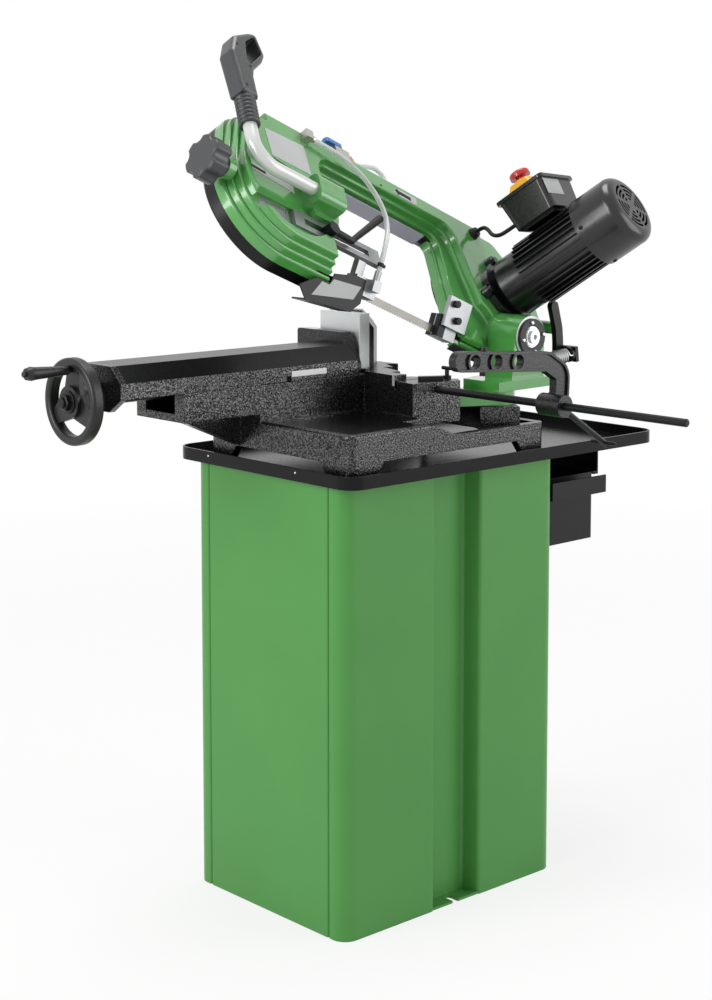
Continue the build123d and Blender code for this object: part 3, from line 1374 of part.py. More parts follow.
def drive_wheel():
    """Driven wheel with its shaft through the casting."""
    wheel = band_wheel(DRIVE_U)
    shaft = bow_bar((DRIVE_U, WHEEL_R, 0), (DRIVE_U, WHEEL_R, BOW_FACE_N - 2), DRIVE_SHAFT_D / 2)
    return BOW.location * (wheel + shaft)


def idler_wheel():
    """Front wheel, which runs on the tension block's axle."""
    half = WHEEL_WIDTH / 2 + 1
    bore = bow_bar((IDLER_U, WHEEL_R, -half), (IDLER_U, WHEEL_R, half), IDLER_AXLE_D / 2 + IDLER_FIT)
    return BOW.location * (band_wheel(IDLER_U) - bore)


def idler_block():
    """Sliding block with the front wheel's axle, moved by the tension screw."""
    half = IDLER_BLOCK / 2
    body = bow_block(IDLER_U - half, IDLER_U + half, WHEEL_R - half, WHEEL_R + half, BOW_WEB_N, IDLER_TOP_N)
    axle_r = IDLER_AXLE_D / 2
    root = (IDLER_U, WHEEL_R, BOW_WEB_N + 1)
    body += bow_bar((IDLER_U, WHEEL_R, -WHEEL_WIDTH / 2 - 2), root, axle_r)
    body += bow_bar((IDLER_U, WHEEL_R, WHEEL_WIDTH / 2 + RUN), root, axle_r + 4)
    screw = bow_bar(
        (IDLER_U + half - IDLER_THREAD, TENSION_V, TENSION_N),
        (IDLER_U + half + 1, TENSION_V, TENSION_N),
        TENSION_SCREW_D / 2 + FIT,
    )
    return BOW.location * (body - screw)


def tension_knob():
    """Six-lobed knob on the tension screw."""
    head = Circle(KNOB_D / 2)
    for spot in PolarLocations(KNOB_D / 2 + 7, 6):
        head -= spot * Circle(13)
    head = fillet(head.vertices(), 3)
    knob = extrude(head, KNOB_DEPTH)
    knob = fillet(knob.faces().sort_by(Axis.Z)[-1].edges(), 3)
    knob = Pos(0, 0, KNOB_NECK) * knob
    knob += Cylinder(14, KNOB_NECK + 1, align=UPRIGHT)
    tip = IDLER_U + IDLER_BLOCK / 2 - IDLER_THREAD + 1
    root = (TENSION_U + KNOB_NECK, TENSION_V, TENSION_N)
    screw = bow_bar((tip, TENSION_V, TENSION_N), root, TENSION_SCREW_D / 2)
    front = Plane(origin=(-TENSION_U - RUN, TENSION_V, TENSION_N), x_dir=(0, 1, 0), z_dir=(-1, 0, 0))
    return BOW.location * (front.location * knob + screw)


# Motor and switch

def motor_spot(n):
    """Place on the motor's axis."""
    return Pos(-MOTOR_U, MOTOR_V, n)


def motor_flange():
    """Mounting flange with four bolted ears."""
    plate = Circle(MOTOR_FLANGE_R)
    for angle in (20, 110, 200, 290):
        ear = Rot(0, 0, angle) * (Pos(MOTOR_FLANGE_R + 3, 0) * Circle(11))
        plate += ear
    flange = extrude(plate, MOTOR_FLANGE)
    for angle in (20, 110, 200, 290):
        bolt = Pos(MOTOR_FLANGE_R + 3, 0, MOTOR_FLANGE) * extrude(RegularPolygon(7, 6), 5)
        flange += Rot(0, 0, angle) * bolt
    return BOW.location * motor_spot(BOW_FACE_N) * flange - hinge_relief()


def motor_housing():
    """Bell at the drive end and ribbed body."""
    n0 = BOW_FACE_N + MOTOR_FLANGE
    bell = MOTOR_BODY_N - n0
    points = [(0, 0), (MOTOR_BELL_R - 10, 0), (MOTOR_BELL_R, 14), (MOTOR_BELL_R, bell), (0, bell)]
    profile = Polygon(*points, align=None)
    housing = Pos(0, 0, n0) * revolve(Plane.XZ * profile, Axis.Z)
    length = MOTOR_COWL_N - MOTOR_BODY_N
    section = Circle(MOTOR_R - MOTOR_FIN)
    for spot in PolarLocations(MOTOR_R - MOTOR_FIN, MOTOR_FINS):
        section += spot * Rectangle(2 * MOTOR_FIN, MOTOR_FIN_THICKNESS)
    housing += Pos(0, 0, MOTOR_BODY_N) * extrude(section, length)
    bore = extrude(Circle(MOTOR_SHAFT_D / 2 + FIT), 2 * MOTOR_SHAFT)
    housing -= Pos(0, 0, MOTOR_COWL_N - MOTOR_SHAFT) * bore
    return BOW.location * motor_spot(0) * housing


def fan_cowl():
    """Deep-drawn cowl with ring slots in its end."""
    length = MOTOR_END_N - MOTOR_COWL_N - RUN
    cowl = Cylinder(COWL_R, length, align=UPRIGHT)
    cowl = fillet(cowl.edges().sort_by(Axis.Z)[-1:], 18)
    hollow = Cylinder(COWL_R - COWL_WALL, length - COWL_WALL, align=UPRIGHT)
    cowl -= fillet(hollow.edges().sort_by(Axis.Z)[-1:], 16)
    for radius in (14, 22, 30, 38):
        slot = Pos(0, 0, length - 9) * extrude(Circle(radius + 2.2) - Circle(radius - 2.2), 20)
        for angle in (0, 60, 120):
            slot -= Rot(0, 0, angle) * Pos(0, 0, length) * Box(2 * COWL_R, 7, 60)
        cowl -= slot
    return BOW.location * motor_spot(MOTOR_COWL_N + RUN) * cowl


def cooling_fan():
    """Fan on the motor shaft inside the cowl."""
    fan = Cylinder(16, 26, align=UPRIGHT)
    shaft = MOTOR_SHAFT + FAN_GAP - 1
    fan += Cylinder(MOTOR_SHAFT_D / 2, shaft, align=(Align.CENTER, Align.CENTER, Align.MAX))
    blade = Pos(29, 0, 13) * Box(32, 2.5, 24)
    for angle in range(0, 360, 60):
        fan += Rot(0, 0, angle) * blade
    return BOW.location * motor_spot(MOTOR_COWL_N + FAN_GAP) * fan


def switch_spot(n):
    """Place on the motor's axis, turned so that y points out through the switch box."""
    return motor_spot(n) * Rot(0, 0, SWITCH_TURN)


def switch_box():
    """Tapered box on a saddle on top of the motor, with an overhanging lid and a cable gland."""
    half = SWITCH_WIDTH / 2
    low = MOTOR_R + SWITCH_GAP
    top = low + SWITCH_HEIGHT
    foot = Plane(origin=(0, low, SWITCH_LENGTH / 2), x_dir=(1, 0, 0), z_dir=(0, 1, 0))
    floor = RectangleRounded(SWITCH_WIDTH - 2 * SWITCH_DRAFT, SWITCH_LENGTH - 2 * SWITCH_DRAFT, 10)
    mouth = RectangleRounded(SWITCH_WIDTH, SWITCH_LENGTH, 10)
    box = loft([foot * floor, foot.offset(SWITCH_HEIGHT) * mouth])
    lid = block(-half - 3, half + 3, top - SWITCH_LID, top, -3, SWITCH_LENGTH + 3)
    box += fillet(lid.edges().filter_by(Axis.Y), 8)
    box += block(-half + 18, half - 18, MOTOR_R + RUN, low + 1, 14, SWITCH_LENGTH - 14)
    u, v, n = CABLE_ROUTE[0]
    gland = bow_bar((u, v, n), (u, v, n + 2 * SWITCH_DRAFT), CABLE_D / 2 + 3)
    return BOW.location * (switch_spot(SWITCH_N) * box + gland)


def stop_housing():
    """Yellow base under the stop button, sloping up to its collar."""
    top = MOTOR_R + SWITCH_GAP + SWITCH_HEIGHT
    foot = Plane(origin=(0, top, STOP_N), x_dir=(1, 0, 0), z_dir=(0, 1, 0))
    base = loft([foot * RectangleRounded(62, 58, 6), foot.offset(STOP_HEIGHT) * RectangleRounded(42, 38, 6)])
    base += foot.location * Cylinder(15, STOP_HEIGHT + 4, align=UPRIGHT)
    base -= foot.location * Cylinder(STOP_STEM_R + FIT, 99, align=UPRIGHT)
    return BOW.location * switch_spot(SWITCH_N) * base


def stop_button():
    """Red mushroom button on its stem."""
    top = MOTOR_R + SWITCH_GAP + SWITCH_HEIGHT
    foot = Plane(origin=(0, top, STOP_N), x_dir=(1, 0, 0), z_dir=(0, 1, 0))
    rise = STOP_HEIGHT + 4 + STOP_TRAVEL + 1
    button = Pos(0, 0, STOP_TRAVEL + 2) * Cylinder(STOP_STEM_R, rise, align=UPRIGHT)
    head = fillet(Cylinder(STOP_HEAD_R, STOP_HEAD, align=UPRIGHT).edges().sort_by(Axis.Z)[-1:], 6)
    return BOW.location * switch_spot(SWITCH_N) * foot.location * (button + Pos(0, 0, rise) * head)


# Handle

def handle_tube():
    """Bent tube from the lug to the grip."""
    root = (HANDLE_DEPTH - HANDLE_SOCKET_U, HANDLE_V)
    top = (-HANDLE_U, GRIP_V0 + GRIP_BORE)
    path = FilletPolyline(root, (-HANDLE_U, HANDLE_V), top, radius=HANDLE_BEND_R)
    start = Plane(origin=path @ 0, z_dir=path % 0)
    tube = sweep(start * (Circle(HANDLE_D / 2) - Circle(HANDLE_D / 2 - 2.5)), path=path)
    return BOW.location * Pos(0, 0, HANDLE_N) * tube


def handle_grip():
    """Moulded grip with a ribbed sleeve and a finger loop at its top."""
    sleeve = Plane(origin=(-HANDLE_U, GRIP_V0, 0), x_dir=(1, 0, 0), z_dir=(0, 1, 0))
    grip = sleeve.location * Cylinder(SLEEVE_R, SLEEVE_LENGTH, align=UPRIGHT)
    for step in range(SLEEVE_RIBS):
        grip += sleeve.offset(SLEEVE_RIB_R + step * SLEEVE_PITCH).location * Torus(SLEEVE_R, SLEEVE_RIB_R)
    u = HANDLE_U
    v = GRIP_V0
    outer = Polygon(
        *[(-a, b) for a, b in [
            (u + 17, v + 56), (u + 25, v + 138), (u + 13, v + 174), (u - 22, v + 199),
            (u - 40, v + 206), (u - 52, v + 163), (u - 45, v + 148), (u - 21, v + 118),
            (u - 16, v + 98), (u - 17, v + 56),
        ]],
        align=None,
    )
    outer = fillet(outer.vertices().filter_by_position(Axis.Y, v + 90, v + 230), 9)
    inner = Polygon(
        *[(-a, b) for a, b in [
            (u - 9, v + 170), (u - 32, v + 194), (u - 43, v + 162), (u - 11, v + 122), (u - 4, v + 127),
        ]],
        align=None,
    )
    inner = fillet(inner.vertices(), 3)
    body = Pos(0, 0, -GRIP_DEPTH / 2) * extrude(outer, GRIP_DEPTH, dir=(0, 0, 1))
    rims = body.faces().sort_by(Axis.Z)
    body = fillet(rims[-1].edges() + rims[0].edges(), GRIP_ROUND)
    body -= Pos(0, 0, -GRIP_DEPTH) * extrude(inner, 2 * GRIP_DEPTH, dir=(0, 0, 1))
    bore = sleeve.location * Cylinder(HANDLE_D / 2, GRIP_BORE, align=UPRIGHT)
    half = TRIGGER_WIDTH / 2 + RUN
    slot = block(-u - 8, -u + TRIGGER_REACH, v + TRIGGER_V0 - 1, v + TRIGGER_V1 + 1, -half, half)
    return BOW.location * Pos(0, 0, HANDLE_N) * (grip + body - bore - slot)


def trigger():
    """Trigger in the grip, pressed into its slot."""
    u = HANDLE_U
    v = GRIP_V0
    half = TRIGGER_WIDTH / 2
    key = block(-u, -u + TRIGGER_REACH, v + TRIGGER_V0, v + TRIGGER_V1, -half, half)
    key = fillet(key.edges().filter_by(Axis.Z).sort_by(Axis.X)[-2:], 4)
    return BOW.location * Pos(0, 0, HANDLE_N) * key


# Blade guides and the sliding guide arm

def guide_arm():
    """Slotted bar in the guideway with a post down to the blade."""
    half = GUIDE_BAR_WIDTH / 2
    n0 = GUIDE_FLOOR_N + RUN
    bar = bow_block(GUIDE_U0, GUIDE_U1, GUIDEWAY_V - half, GUIDEWAY_V + half, n0, n0 + GUIDE_BAR)
    slot = bow_block(GUIDE_U0 + 26, GUIDE_U1 - 22, GUIDEWAY_V - 6, GUIDEWAY_V + 6, n0 - 1, n0 + GUIDE_BAR + 1)
    post = cut_to_bow(bow_block(POST_U - POST_HALF, POST_U + POST_HALF, FRONT_GUIDE_W1, 99, -6, 6))
    keep = bow_block(GUIDE_U0, GUIDE_U1, -99, GUIDEWAY_V - 6, -99, n0 + GUIDE_BAR)
    return BOW.location * (bar - slot + (post & keep))


def guide_block(u0, u1, w0, w1):
    """Guide with carbide faces on both sides of the blade and a roller over its back."""
    gap = BLADE_THICKNESS / 2 + GUIDE_RUN
    offset_x = BLADE_THICKNESS / 2 * SIN_TILT
    body = bow_block(u0, u1, w0, w1, -GUIDE_HALF, GUIDE_HALF)
    return body - bow_block(u0 - 1, u1 + 1, w0 - 1, BLADE_WIDTH / 2 + 1, offset_x - gap, offset_x + gap)


def front_guide():
    """Blade guide on the guide arm, with the coolant barb on its top."""
    middle = (FRONT_GUIDE_U0 + FRONT_GUIDE_U1) / 2
    guide = guide_block(FRONT_GUIDE_U0, FRONT_GUIDE_U1, FRONT_GUIDE_W0, FRONT_GUIDE_W1)
    w0 = BLADE_WIDTH / 2 + 2
    guide += bow_block(middle, POST_U + POST_HALF, w0, FRONT_GUIDE_W1, -GUIDE_HALF, GUIDE_HALF)
    barb_u = HOSE_ROUTE[-1][0]
    guide += bow_block(barb_u - 8, barb_u + 8, BLADE_WIDTH / 2, FRONT_GUIDE_W1, 0, BARB_X + 7)
    guide += bow_bar((barb_u, FRONT_GUIDE_W1 - 1, BARB_X), (barb_u, BARB_W, BARB_X), HOSE_D / 2 + 1.5)
    return CUT.location * guide


def blade_guard():
    """Black folded guard in front of the blade, below the lower jaw."""
    x1 = GUIDE_HALF + GUARD_SHEET
    upper = [(-326, 20), (-346, 20), (-391, 7.8), (-396, -10), (-424, -10), (-453, -31)]
    lower = [(-435, -47), (-338, -34), (-324, -18)]
    guard = prism_z(upper + lower, x1 - GUARD_SHEET, x1)
    lip = [(-338, -34), (-435, -47), (-435, -47 - GUARD_SHEET), (-338, -34 - GUARD_SHEET)]
    guard += prism_z(lip, -16, x1)
    return CUT.location * guard


def rear_guide():
    """Blade guide on a bare plate at the column's foot."""
    plate = bow_block(REAR_GUIDE_U0, REAR_GUIDE_U1, REAR_GUIDE_W0, REAR_GUIDE_W1, GUIDE_HALF, GUIDE_HALF + 8)
    guide = guide_block(COLUMN_U + RUN, REAR_BLOCK_U1, REAR_BLOCK_W0, REAR_BLOCK_W1)
    return [CUT.location * plate, CUT.location * guide]


def guide_clamp_lever():
    """Clamp screw through the bar's slot with its hand lever."""
    n0 = GUIDE_FLOOR_N + RUN + GUIDE_BAR + RUN
    lever = bow_bar((CLAMP_U, GUIDEWAY_V, n0), (CLAMP_U, GUIDEWAY_V, n0 + 16), 11)
    lever += bow_bar((CLAMP_U, GUIDEWAY_V, BOW_WEB_N + 1), (CLAMP_U, GUIDEWAY_V, n0 + 1), CLAMP_SCREW_D / 2)
    elbow = (CLAMP_U - 40, GUIDEWAY_V - 6, n0 + 11)
    lever += bow_bar((CLAMP_U, GUIDEWAY_V, n0 + 9), elbow, 6)
    lever += Pos(-elbow[0], elbow[1], elbow[2]) * Sphere(6)
    lever += bow_bar(elbow, (CLAMP_U - 116, GUIDEWAY_V + 68, n0 + 20), 5, 6.5)
    return BOW.location * lever


# Coolant line

def barb(end, inward, length):
    """Round stub square to a hose's end run, behind its end."""
    tip = Vector(*end)
    back = tip - (Vector(*inward) - tip).normalized() * length
    return bow_bar((back.X, back.Y, back.Z), end, HOSE_D / 2 + 1.5)


def coolant_valve():
    """Valve body on the beam with a barb at its rear end."""
    u0, v0, n0 = VALVE_U, BEAM_TOP, VALVE_N
    valve = bow_block(u0 - 16, u0 + 16, v0, v0 + 18, n0 - 10, n0 + 10)
    valve += bow_bar((u0 + 26, v0 + 9, n0), (u0 - 26, v0 + 9, n0), 7)
    valve += bow_bar((u0, v0 + 17, n0), (u0, v0 + 24, n0), 5)
    return BOW.location * (valve + barb(LOOP_ROUTE[0], LOOP_ROUTE[1], 16))


def valve_lever():
    """Blue lever on the valve's stem."""
    u0, v0, n0 = VALVE_U, BEAM_TOP + 24 + RUN, VALVE_N
    lever = bow_block(u0 - 8, u0 + 30, v0, v0 + 8, n0 - 7, n0 + 7)
    return BOW.location * fillet(lever.edges().filter_by(Axis.Y), 5)


def hose_fitting():
    """Barbed fitting on the beam where the coolant hose starts."""
    u, v, n = HOSE_ROUTE[0]
    fitting = bow_block(u + 8, u + 22, v - 8, v + 8, BOW_FACE_N, n + 8)
    return BOW.location * (fitting + barb(HOSE_ROUTE[0], HOSE_ROUTE[1], 10))


def line_grommets():
    """Grommets where the short hose and the motor cable go into the casting."""
    u, v, n = LOOP_ROUTE[-1]
    collar = bow_bar((u - 2, BEAM_TOP, n), (u - 2, BEAM_TOP + 3, n), HOSE_D / 2 + 4)
    below = bow_block(u - 40, u + 40, BEAM_TOP - 40, BEAM_TOP, n - 40, n + 40)
    hose = collar + (barb(LOOP_ROUTE[-1], LOOP_ROUTE[-2], 12) - below)
    u, v, n = CABLE_ROUTE[-1]
    cable = bow_bar((u, v, BOW_FACE_N), (u, v, n), 11, 8)
    return [BOW.location * hose, BOW.location * cable]


def tube_along(route, diameter, label):
    """Soft tube along a route of straight runs and tangent arcs, each as large as its runs allow."""
    points = [Vector(-u, v, n) for u, v, n in route]
    radii = []
    for before, here, after in zip(points, points[1:], points[2:]):
        turn = math.radians((here - before).get_angle(after - here))
        run = min((here - before).length, (after - here).length)
        radii.append(0.45 * run / math.tan(turn / 2))
    print(label, "radii", [round(radius, 1) for radius in radii])
    path = FilletPolyline(*points, radius=radii)
    tube = sweep(Plane(origin=path @ 0, z_dir=path % 0) * Circle(diameter / 2), path=path)
    section = math.pi * diameter**2 / 4
    print(label, "length", round(path.length, 1), "filled", round(tube.volume / (path.length * section), 4))
    return BOW.location * tube


PARTS = {
    "stand_side_right": stand_side(),
    "stand_side_left": mirror(stand_side(), about=Plane.YZ),
    "stand_front_panel": stand_panel(),
    "stand_rear_panel": mirror(stand_panel(), about=Plane.XZ),
    "chip_tray": chip_tray(),
    "tank_rails": tank_rails(),
    "coolant_tank": coolant_tank(),
    "base_casting": base_casting(),
    "fixed_jaw": fixed_jaw(),
    "fixed_jaw_plate": fixed_jaw_plate(),
    "vise_slide": vise_slide(),
    "vise_cover": vise_cover(),
    "moving_jaw": moving_jaw(),
    "screw_nut": screw_nut(),
    "vise_screw": vise_screw(),
    "handwheel": handwheel(),
    "crank_grip": crank_grip(),
    "stop_rod": stop_rod(),
    "stop_arm": stop_arm(),
    "stop_lever": stop_lever(),
    "angle_pointer": angle_pointer(),
    "angle_lock": angle_lock(),
    "swivel_bracket": swivel_bracket(),
    "pivot_cap": pivot_cap(),
    "pivot_shaft": pivot_shaft(),
    "lift_spring": lift_spring(),
    "spring_bolt": spring_bolt(),
    "tail_lever": tail_lever(),
    "bow_casting": bow_casting(),
    "front_cover": front_cover(),
    "rear_cover": rear_cover(),
    "return_guard": return_guard(),
    "chip_deflector": chip_deflector(),
    "saw_blade": saw_blade(),
    "drive_wheel": drive_wheel(),
    "idler_wheel": idler_wheel(),
    "idler_block": idler_block(),
    "tension_knob": tension_knob(),
    "motor_flange": motor_flange(),
    "motor_housing": motor_housing(),
    "fan_cowl": fan_cowl(),
    "cooling_fan": cooling_fan(),
    "switch_box": switch_box(),
    "stop_housing": stop_housing(),
    "stop_button": stop_button(),
    "handle_tube": handle_tube(),
    "handle_grip": handle_grip(),
    "trigger": trigger(),
    "guide_arm": guide_arm(),
    "front_guide": front_guide(),
    "blade_guard": blade_guard(),
    "rear_guide": rear_guide(),
    "guide_clamp_lever": guide_clamp_lever(),
    "coolant_valve": coolant_valve(),
    "valve_lever": valve_lever(),
    "hose_fitting": hose_fitting(),
    "line_grommets": line_grommets(),
    "coolant_hose": tube_along(HOSE_ROUTE, HOSE_D, "coolant hose"),
    "loop_hose": tube_along(LOOP_ROUTE, HOSE_D, "loop hose"),
    "motor_cable": tube_along(CABLE_ROUTE, CABLE_D, "motor cable"),
}

os.makedirs("parts", exist_ok=True)
for name, shape in PARTS.items():
    pieces = shape if isinstance(shape, list) else [shape]
    solids = [solid for piece in pieces for solid in piece.solids()]
    export_step(Compound(children=solids), f"parts/{name}.step")
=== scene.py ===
"""Looks of a metal cutting band saw on a sheet metal stand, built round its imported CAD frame."""
import logging
from dataclasses import dataclass
from enum import Enum
from math import atan2, cos, pi, radians, sin
from typing import Iterable, Sequence

import bmesh
import bpy
from mathutils import Matrix, Vector


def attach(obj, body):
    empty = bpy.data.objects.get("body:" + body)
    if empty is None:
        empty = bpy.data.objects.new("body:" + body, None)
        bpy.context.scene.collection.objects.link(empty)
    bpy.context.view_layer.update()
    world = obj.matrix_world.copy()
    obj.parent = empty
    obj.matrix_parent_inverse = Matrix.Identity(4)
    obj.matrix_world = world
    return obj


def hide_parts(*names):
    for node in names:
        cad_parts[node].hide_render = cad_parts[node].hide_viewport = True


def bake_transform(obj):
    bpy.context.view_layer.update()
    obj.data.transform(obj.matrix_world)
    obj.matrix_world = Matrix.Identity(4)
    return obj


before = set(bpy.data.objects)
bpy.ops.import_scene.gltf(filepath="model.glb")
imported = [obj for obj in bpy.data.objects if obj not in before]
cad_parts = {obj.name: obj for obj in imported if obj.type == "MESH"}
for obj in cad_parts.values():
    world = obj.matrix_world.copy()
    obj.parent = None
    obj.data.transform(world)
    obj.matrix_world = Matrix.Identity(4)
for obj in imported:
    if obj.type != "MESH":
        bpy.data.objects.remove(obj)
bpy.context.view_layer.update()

LOG = logging.getLogger("band_saw")
MM = 0.001
Pair = tuple[float, float]
Point = tuple[float, float, float]
Pairs = tuple[Pair, ...]
Tree = bpy.types.NodeTree
Socket = bpy.types.NodeSocket
Mesh = bmesh.types.BMesh
X = Vector((1.0, 0.0, 0.0))
Y = Vector((0.0, 1.0, 0.0))
Z = Vector((0.0, 0.0, 1.0))
WHITE = (1.0, 1.0, 1.0, 1.0)
# Edges flatter than this, in degrees, are shaded smooth
SMOOTH_ANGLE = 35.0
# Noise values between which the colour drifts, the roughness swings and the mirror strength rises
DRIFT = (0.3, 0.7)
SWING = (0.25, 0.75)
GLINT = (0.42, 0.66)
# Gain of the brightest glints, width of a casting's pits in grains, and the lowest roughness drawn
GLINT_GAIN = 5.0
PIT_GRAINS = 2.2
SMOOTHEST = 0.03
EDGE_SAMPLES = 4
HEAD_SIDES = 24
CORNER_STEPS = 4
# Sockets of a map range, in the order of its values
RANGE = ("Value", "From Min", "From Max", "To Min", "To Max")


# Colours, nodes and finishes

def linear(hex_code: str) -> tuple[float, float, float, float]:
    """Turns an sRGB hex colour into linear light.

    Args:
        hex_code: Six hex digits after a hash sign.

    Returns:
        Red, green, blue and an alpha of 1.
    """
    values = [int(hex_code[i:i + 2], 16) / 255 for i in (1, 3, 5)]
    bent = [v / 12.92 if v <= 0.04045 else ((v + 0.055) / 1.055) ** 2.4 for v in values]
    return (*bent, 1.0)


def add_node(tree: Tree, kind: str, inputs: dict | None = None, **settings: object) -> bpy.types.Node:
    """Adds a shader node with its settings and links.

    Args:
        tree: Node tree that gets the node.
        kind: Blender's type name of the node.
        inputs: Socket name or number to a constant, or to the output socket that it is linked to.
        **settings: Properties of the node itself.

    Returns:
        The new node.
    """
    node = tree.nodes.new(kind)
    for name, value in settings.items():
        setattr(node, name, value)
    for key, value in (inputs or {}).items():
        if isinstance(value, Socket):
            tree.links.new(value, node.inputs[key])
        else:
            node.inputs[key].default_value = value
    return node


class Grain(Enum):
    """How a surface was made, which sets the pattern of its relief."""

    SPRAYED = "sprayed"
    CAST = "cast"
    MOULDED = "moulded"
    BRUSHED = "brushed"
    DRAWN = "drawn"


@dataclass(frozen=True)
class Finish:
    """A surface: its material, its colour and the relief that its making leaves.

    Sizes are in millimetres. Colours are sRGB hex values.
    """

    name: str
    colour: str
    grain: Grain
    grain_mm: float
    relief_mm: float
    roughness: float
    slot: str
    spread: float = 0.08
    shade: float = 0.10
    shade_mm: float = 70.0
    metallic: float = 0.0
    coat: float = 0.0
    coat_roughness: float = 0.1
    transmission: float = 0.0
    specular: float = 0.5
    sparkle: float = 0.0
    ior: float = 1.5
    edge_mm: float = 0.5
    along: Point = (1.0, 1.0, 1.0)

    def material(self) -> bpy.types.Material:
        """Gives the finish's material, made on first use.

        Returns:
            The material, shared by every piece with this finish.
        """
        found = bpy.data.materials.get(self.name)
        if found:
            return found
        material = bpy.data.materials.new(self.name)
        material.use_nodes = True
        tree = material.node_tree
        tree.nodes.clear()
        place = add_node(tree, "ShaderNodeTexCoord").outputs["Object"]
        colour = self._colour(tree, place)
        height, rough, gloss = self._relief(tree, place)
        edge = add_node(tree, "ShaderNodeBevel", {"Radius": self.edge_mm * MM}, samples=EDGE_SAMPLES)
        bump = add_node(tree, "ShaderNodeBump", {
            "Strength": 1.0, "Distance": self.relief_mm * MM, "Height": height, "Normal": edge.outputs[0],
        })
        sockets = {
            "Base Color": colour, "Roughness": rough, "Metallic": self.metallic, "Normal": bump.outputs[0],
            "Coat Weight": self.coat, "Coat Roughness": self.coat_roughness,
            "Transmission Weight": self.transmission, "Specular IOR Level": gloss,
        }
        # A metal keeps the shader's own IOR
        if self.metallic < 0.5:
            sockets["IOR"] = self.ior
        shader = add_node(tree, "ShaderNodeBsdfPrincipled", sockets)
        add_node(tree, "ShaderNodeOutputMaterial", {"Surface": shader.outputs[0]})
        return material

    def _colour(self, tree: Tree, place: Socket) -> Socket:
        """Colour that drifts a little from spot to spot.

        Args:
            tree: Node tree of the material.
            place: Object coordinates.

        Returns:
            Colour socket.
        """
        scale = 1 / (self.shade_mm * MM)
        drift = add_node(tree, "ShaderNodeTexNoise", {"Vector": place, "Scale": scale, "Detail": 4.0})
        ramp = add_node(tree, "ShaderNodeValToRGB", {"Fac": drift.outputs[0]})
        base = linear(self.colour)[:3]
        for stop, position, gain in zip(ramp.color_ramp.elements, DRIFT, (1 - self.shade, 1 + self.shade)):
            stop.position = position
            stop.color = (*(min(1.0, c * gain) for c in base), 1.0)
        return ramp.outputs[0]

    def _relief(self, tree: Tree, place: Socket) -> tuple[Socket, Socket, Socket | float]:
        """Height, roughness and mirror strength of the surface's grain.

        Args:
            tree: Node tree of the material.
            place: Object coordinates.

        Returns:
            Height socket, roughness socket, and the mirror strength as a socket or a number.
        """
        cast = self.grain is Grain.CAST
        scaled = add_node(tree, "ShaderNodeMapping", {"Vector": place, "Scale": self.along}).outputs[0]
        fine = add_node(tree, "ShaderNodeTexNoise", {
            "Vector": scaled, "Scale": 1 / (self.grain_mm * MM), "Detail": 3.0 if cast else 2.0,
        }).outputs[0]
        height = fine
        gloss = self.specular
        if self.sparkle:
            low, high = self.specular * (1 - self.sparkle), self.specular * (1 + GLINT_GAIN * self.sparkle)
            glints = dict(zip(RANGE, (fine, *GLINT, low, high)))
            gloss = add_node(tree, "ShaderNodeMapRange", glints).outputs[0]
        if cast:
            scale = 1 / (PIT_GRAINS * self.grain_mm * MM)
            pits = add_node(tree, "ShaderNodeTexVoronoi", {"Vector": place, "Scale": scale}).outputs[0]
            height = add_node(tree, "ShaderNodeMath", {0: fine, 1: pits}, operation="ADD").outputs[0]
        low, high = max(SMOOTHEST, self.roughness - self.spread), min(1.0, self.roughness + self.spread)
        swing = dict(zip(RANGE, (fine, *SWING, low, high)))
        rough = add_node(tree, "ShaderNodeMapRange", swing).outputs[0]
        return height, rough, gloss


# The real grain of spray, moulding, drawing and grinding is 0.05 to 0.3 mm, too fine to show in the render.
# It is drawn at about 1 to 3 mm. Wider grains are the soft waves of a thick wet coat, at their real size.

# Polyester powder coat on folded sheet: even satin green with a faint orange peel
POWDER_COAT = Finish(
    "green_polyester_powder", "#498B41", Grain.SPRAYED, 3.0, 0.02, 0.36, "green_powder_coat",
    shade=0.03, shade_mm=160.0, specular=0.35, edge_mm=1.0,
)
# Wet sprayed enamel on smooth cast iron: glossy green with soft waves that bend its highlights
CAST_ENAMEL = Finish(
    "green_enamel_on_iron", "#4A9645", Grain.SPRAYED, 18.0, 0.05, 0.20, "green_casting_paint",
    shade=0.05, shade_mm=60.0, spread=0.04, coat=0.8, coat_roughness=0.07, edge_mm=1.2,
)
# Stoved black enamel on the pressed tray and the pan's floor: deep black with a faint clear mirror
TRAY_ENAMEL = Finish(
    "black_stoved_enamel", "#060607", Grain.SPRAYED, 3.0, 0.01, 0.22, "black_enamel",
    spread=0.03, specular=0.2, edge_mm=0.8,
)
# Satin black paint on thin sheet: soft broad highlights
SATIN_BLACK = Finish(
    "satin_black_paint", "#0B0B0C", Grain.SPRAYED, 2.0, 0.01, 0.30, "black_enamel",
    spread=0.04, specular=0.28, edge_mm=0.6,
)
# Black paint straight on rough sand cast iron: pits and grit that glint all over. The real grit is about
# 1 mm and is drawn at 1.9 mm, so that single glints stay visible at the photograph's distance.
RAW_IRON = Finish(
    "black_paint_on_sand_casting", "#070708", Grain.CAST, 1.9, 0.20, 0.26, "black_iron_paint",
    specular=0.42, sparkle=0.7, edge_mm=1.5,
)
# Black paint on a finer casting, as on the moving jaw and the stop arm: a few faint glints
FINE_IRON = Finish(
    "black_paint_on_iron", "#0A0A0B", Grain.CAST, 1.8, 0.08, 0.30, "black_iron_paint",
    specular=0.4, sparkle=0.2, edge_mm=0.8,
)
# Gloss black paint on die cast aluminium ribs: bright streaks along the ribs
MOTOR_PAINT = Finish(
    "gloss_black_on_aluminium", "#0B0B0C", Grain.SPRAYED, 6.0, 0.02, 0.24, "black_motor_paint",
    spread=0.03, specular=0.6, edge_mm=0.6,
)
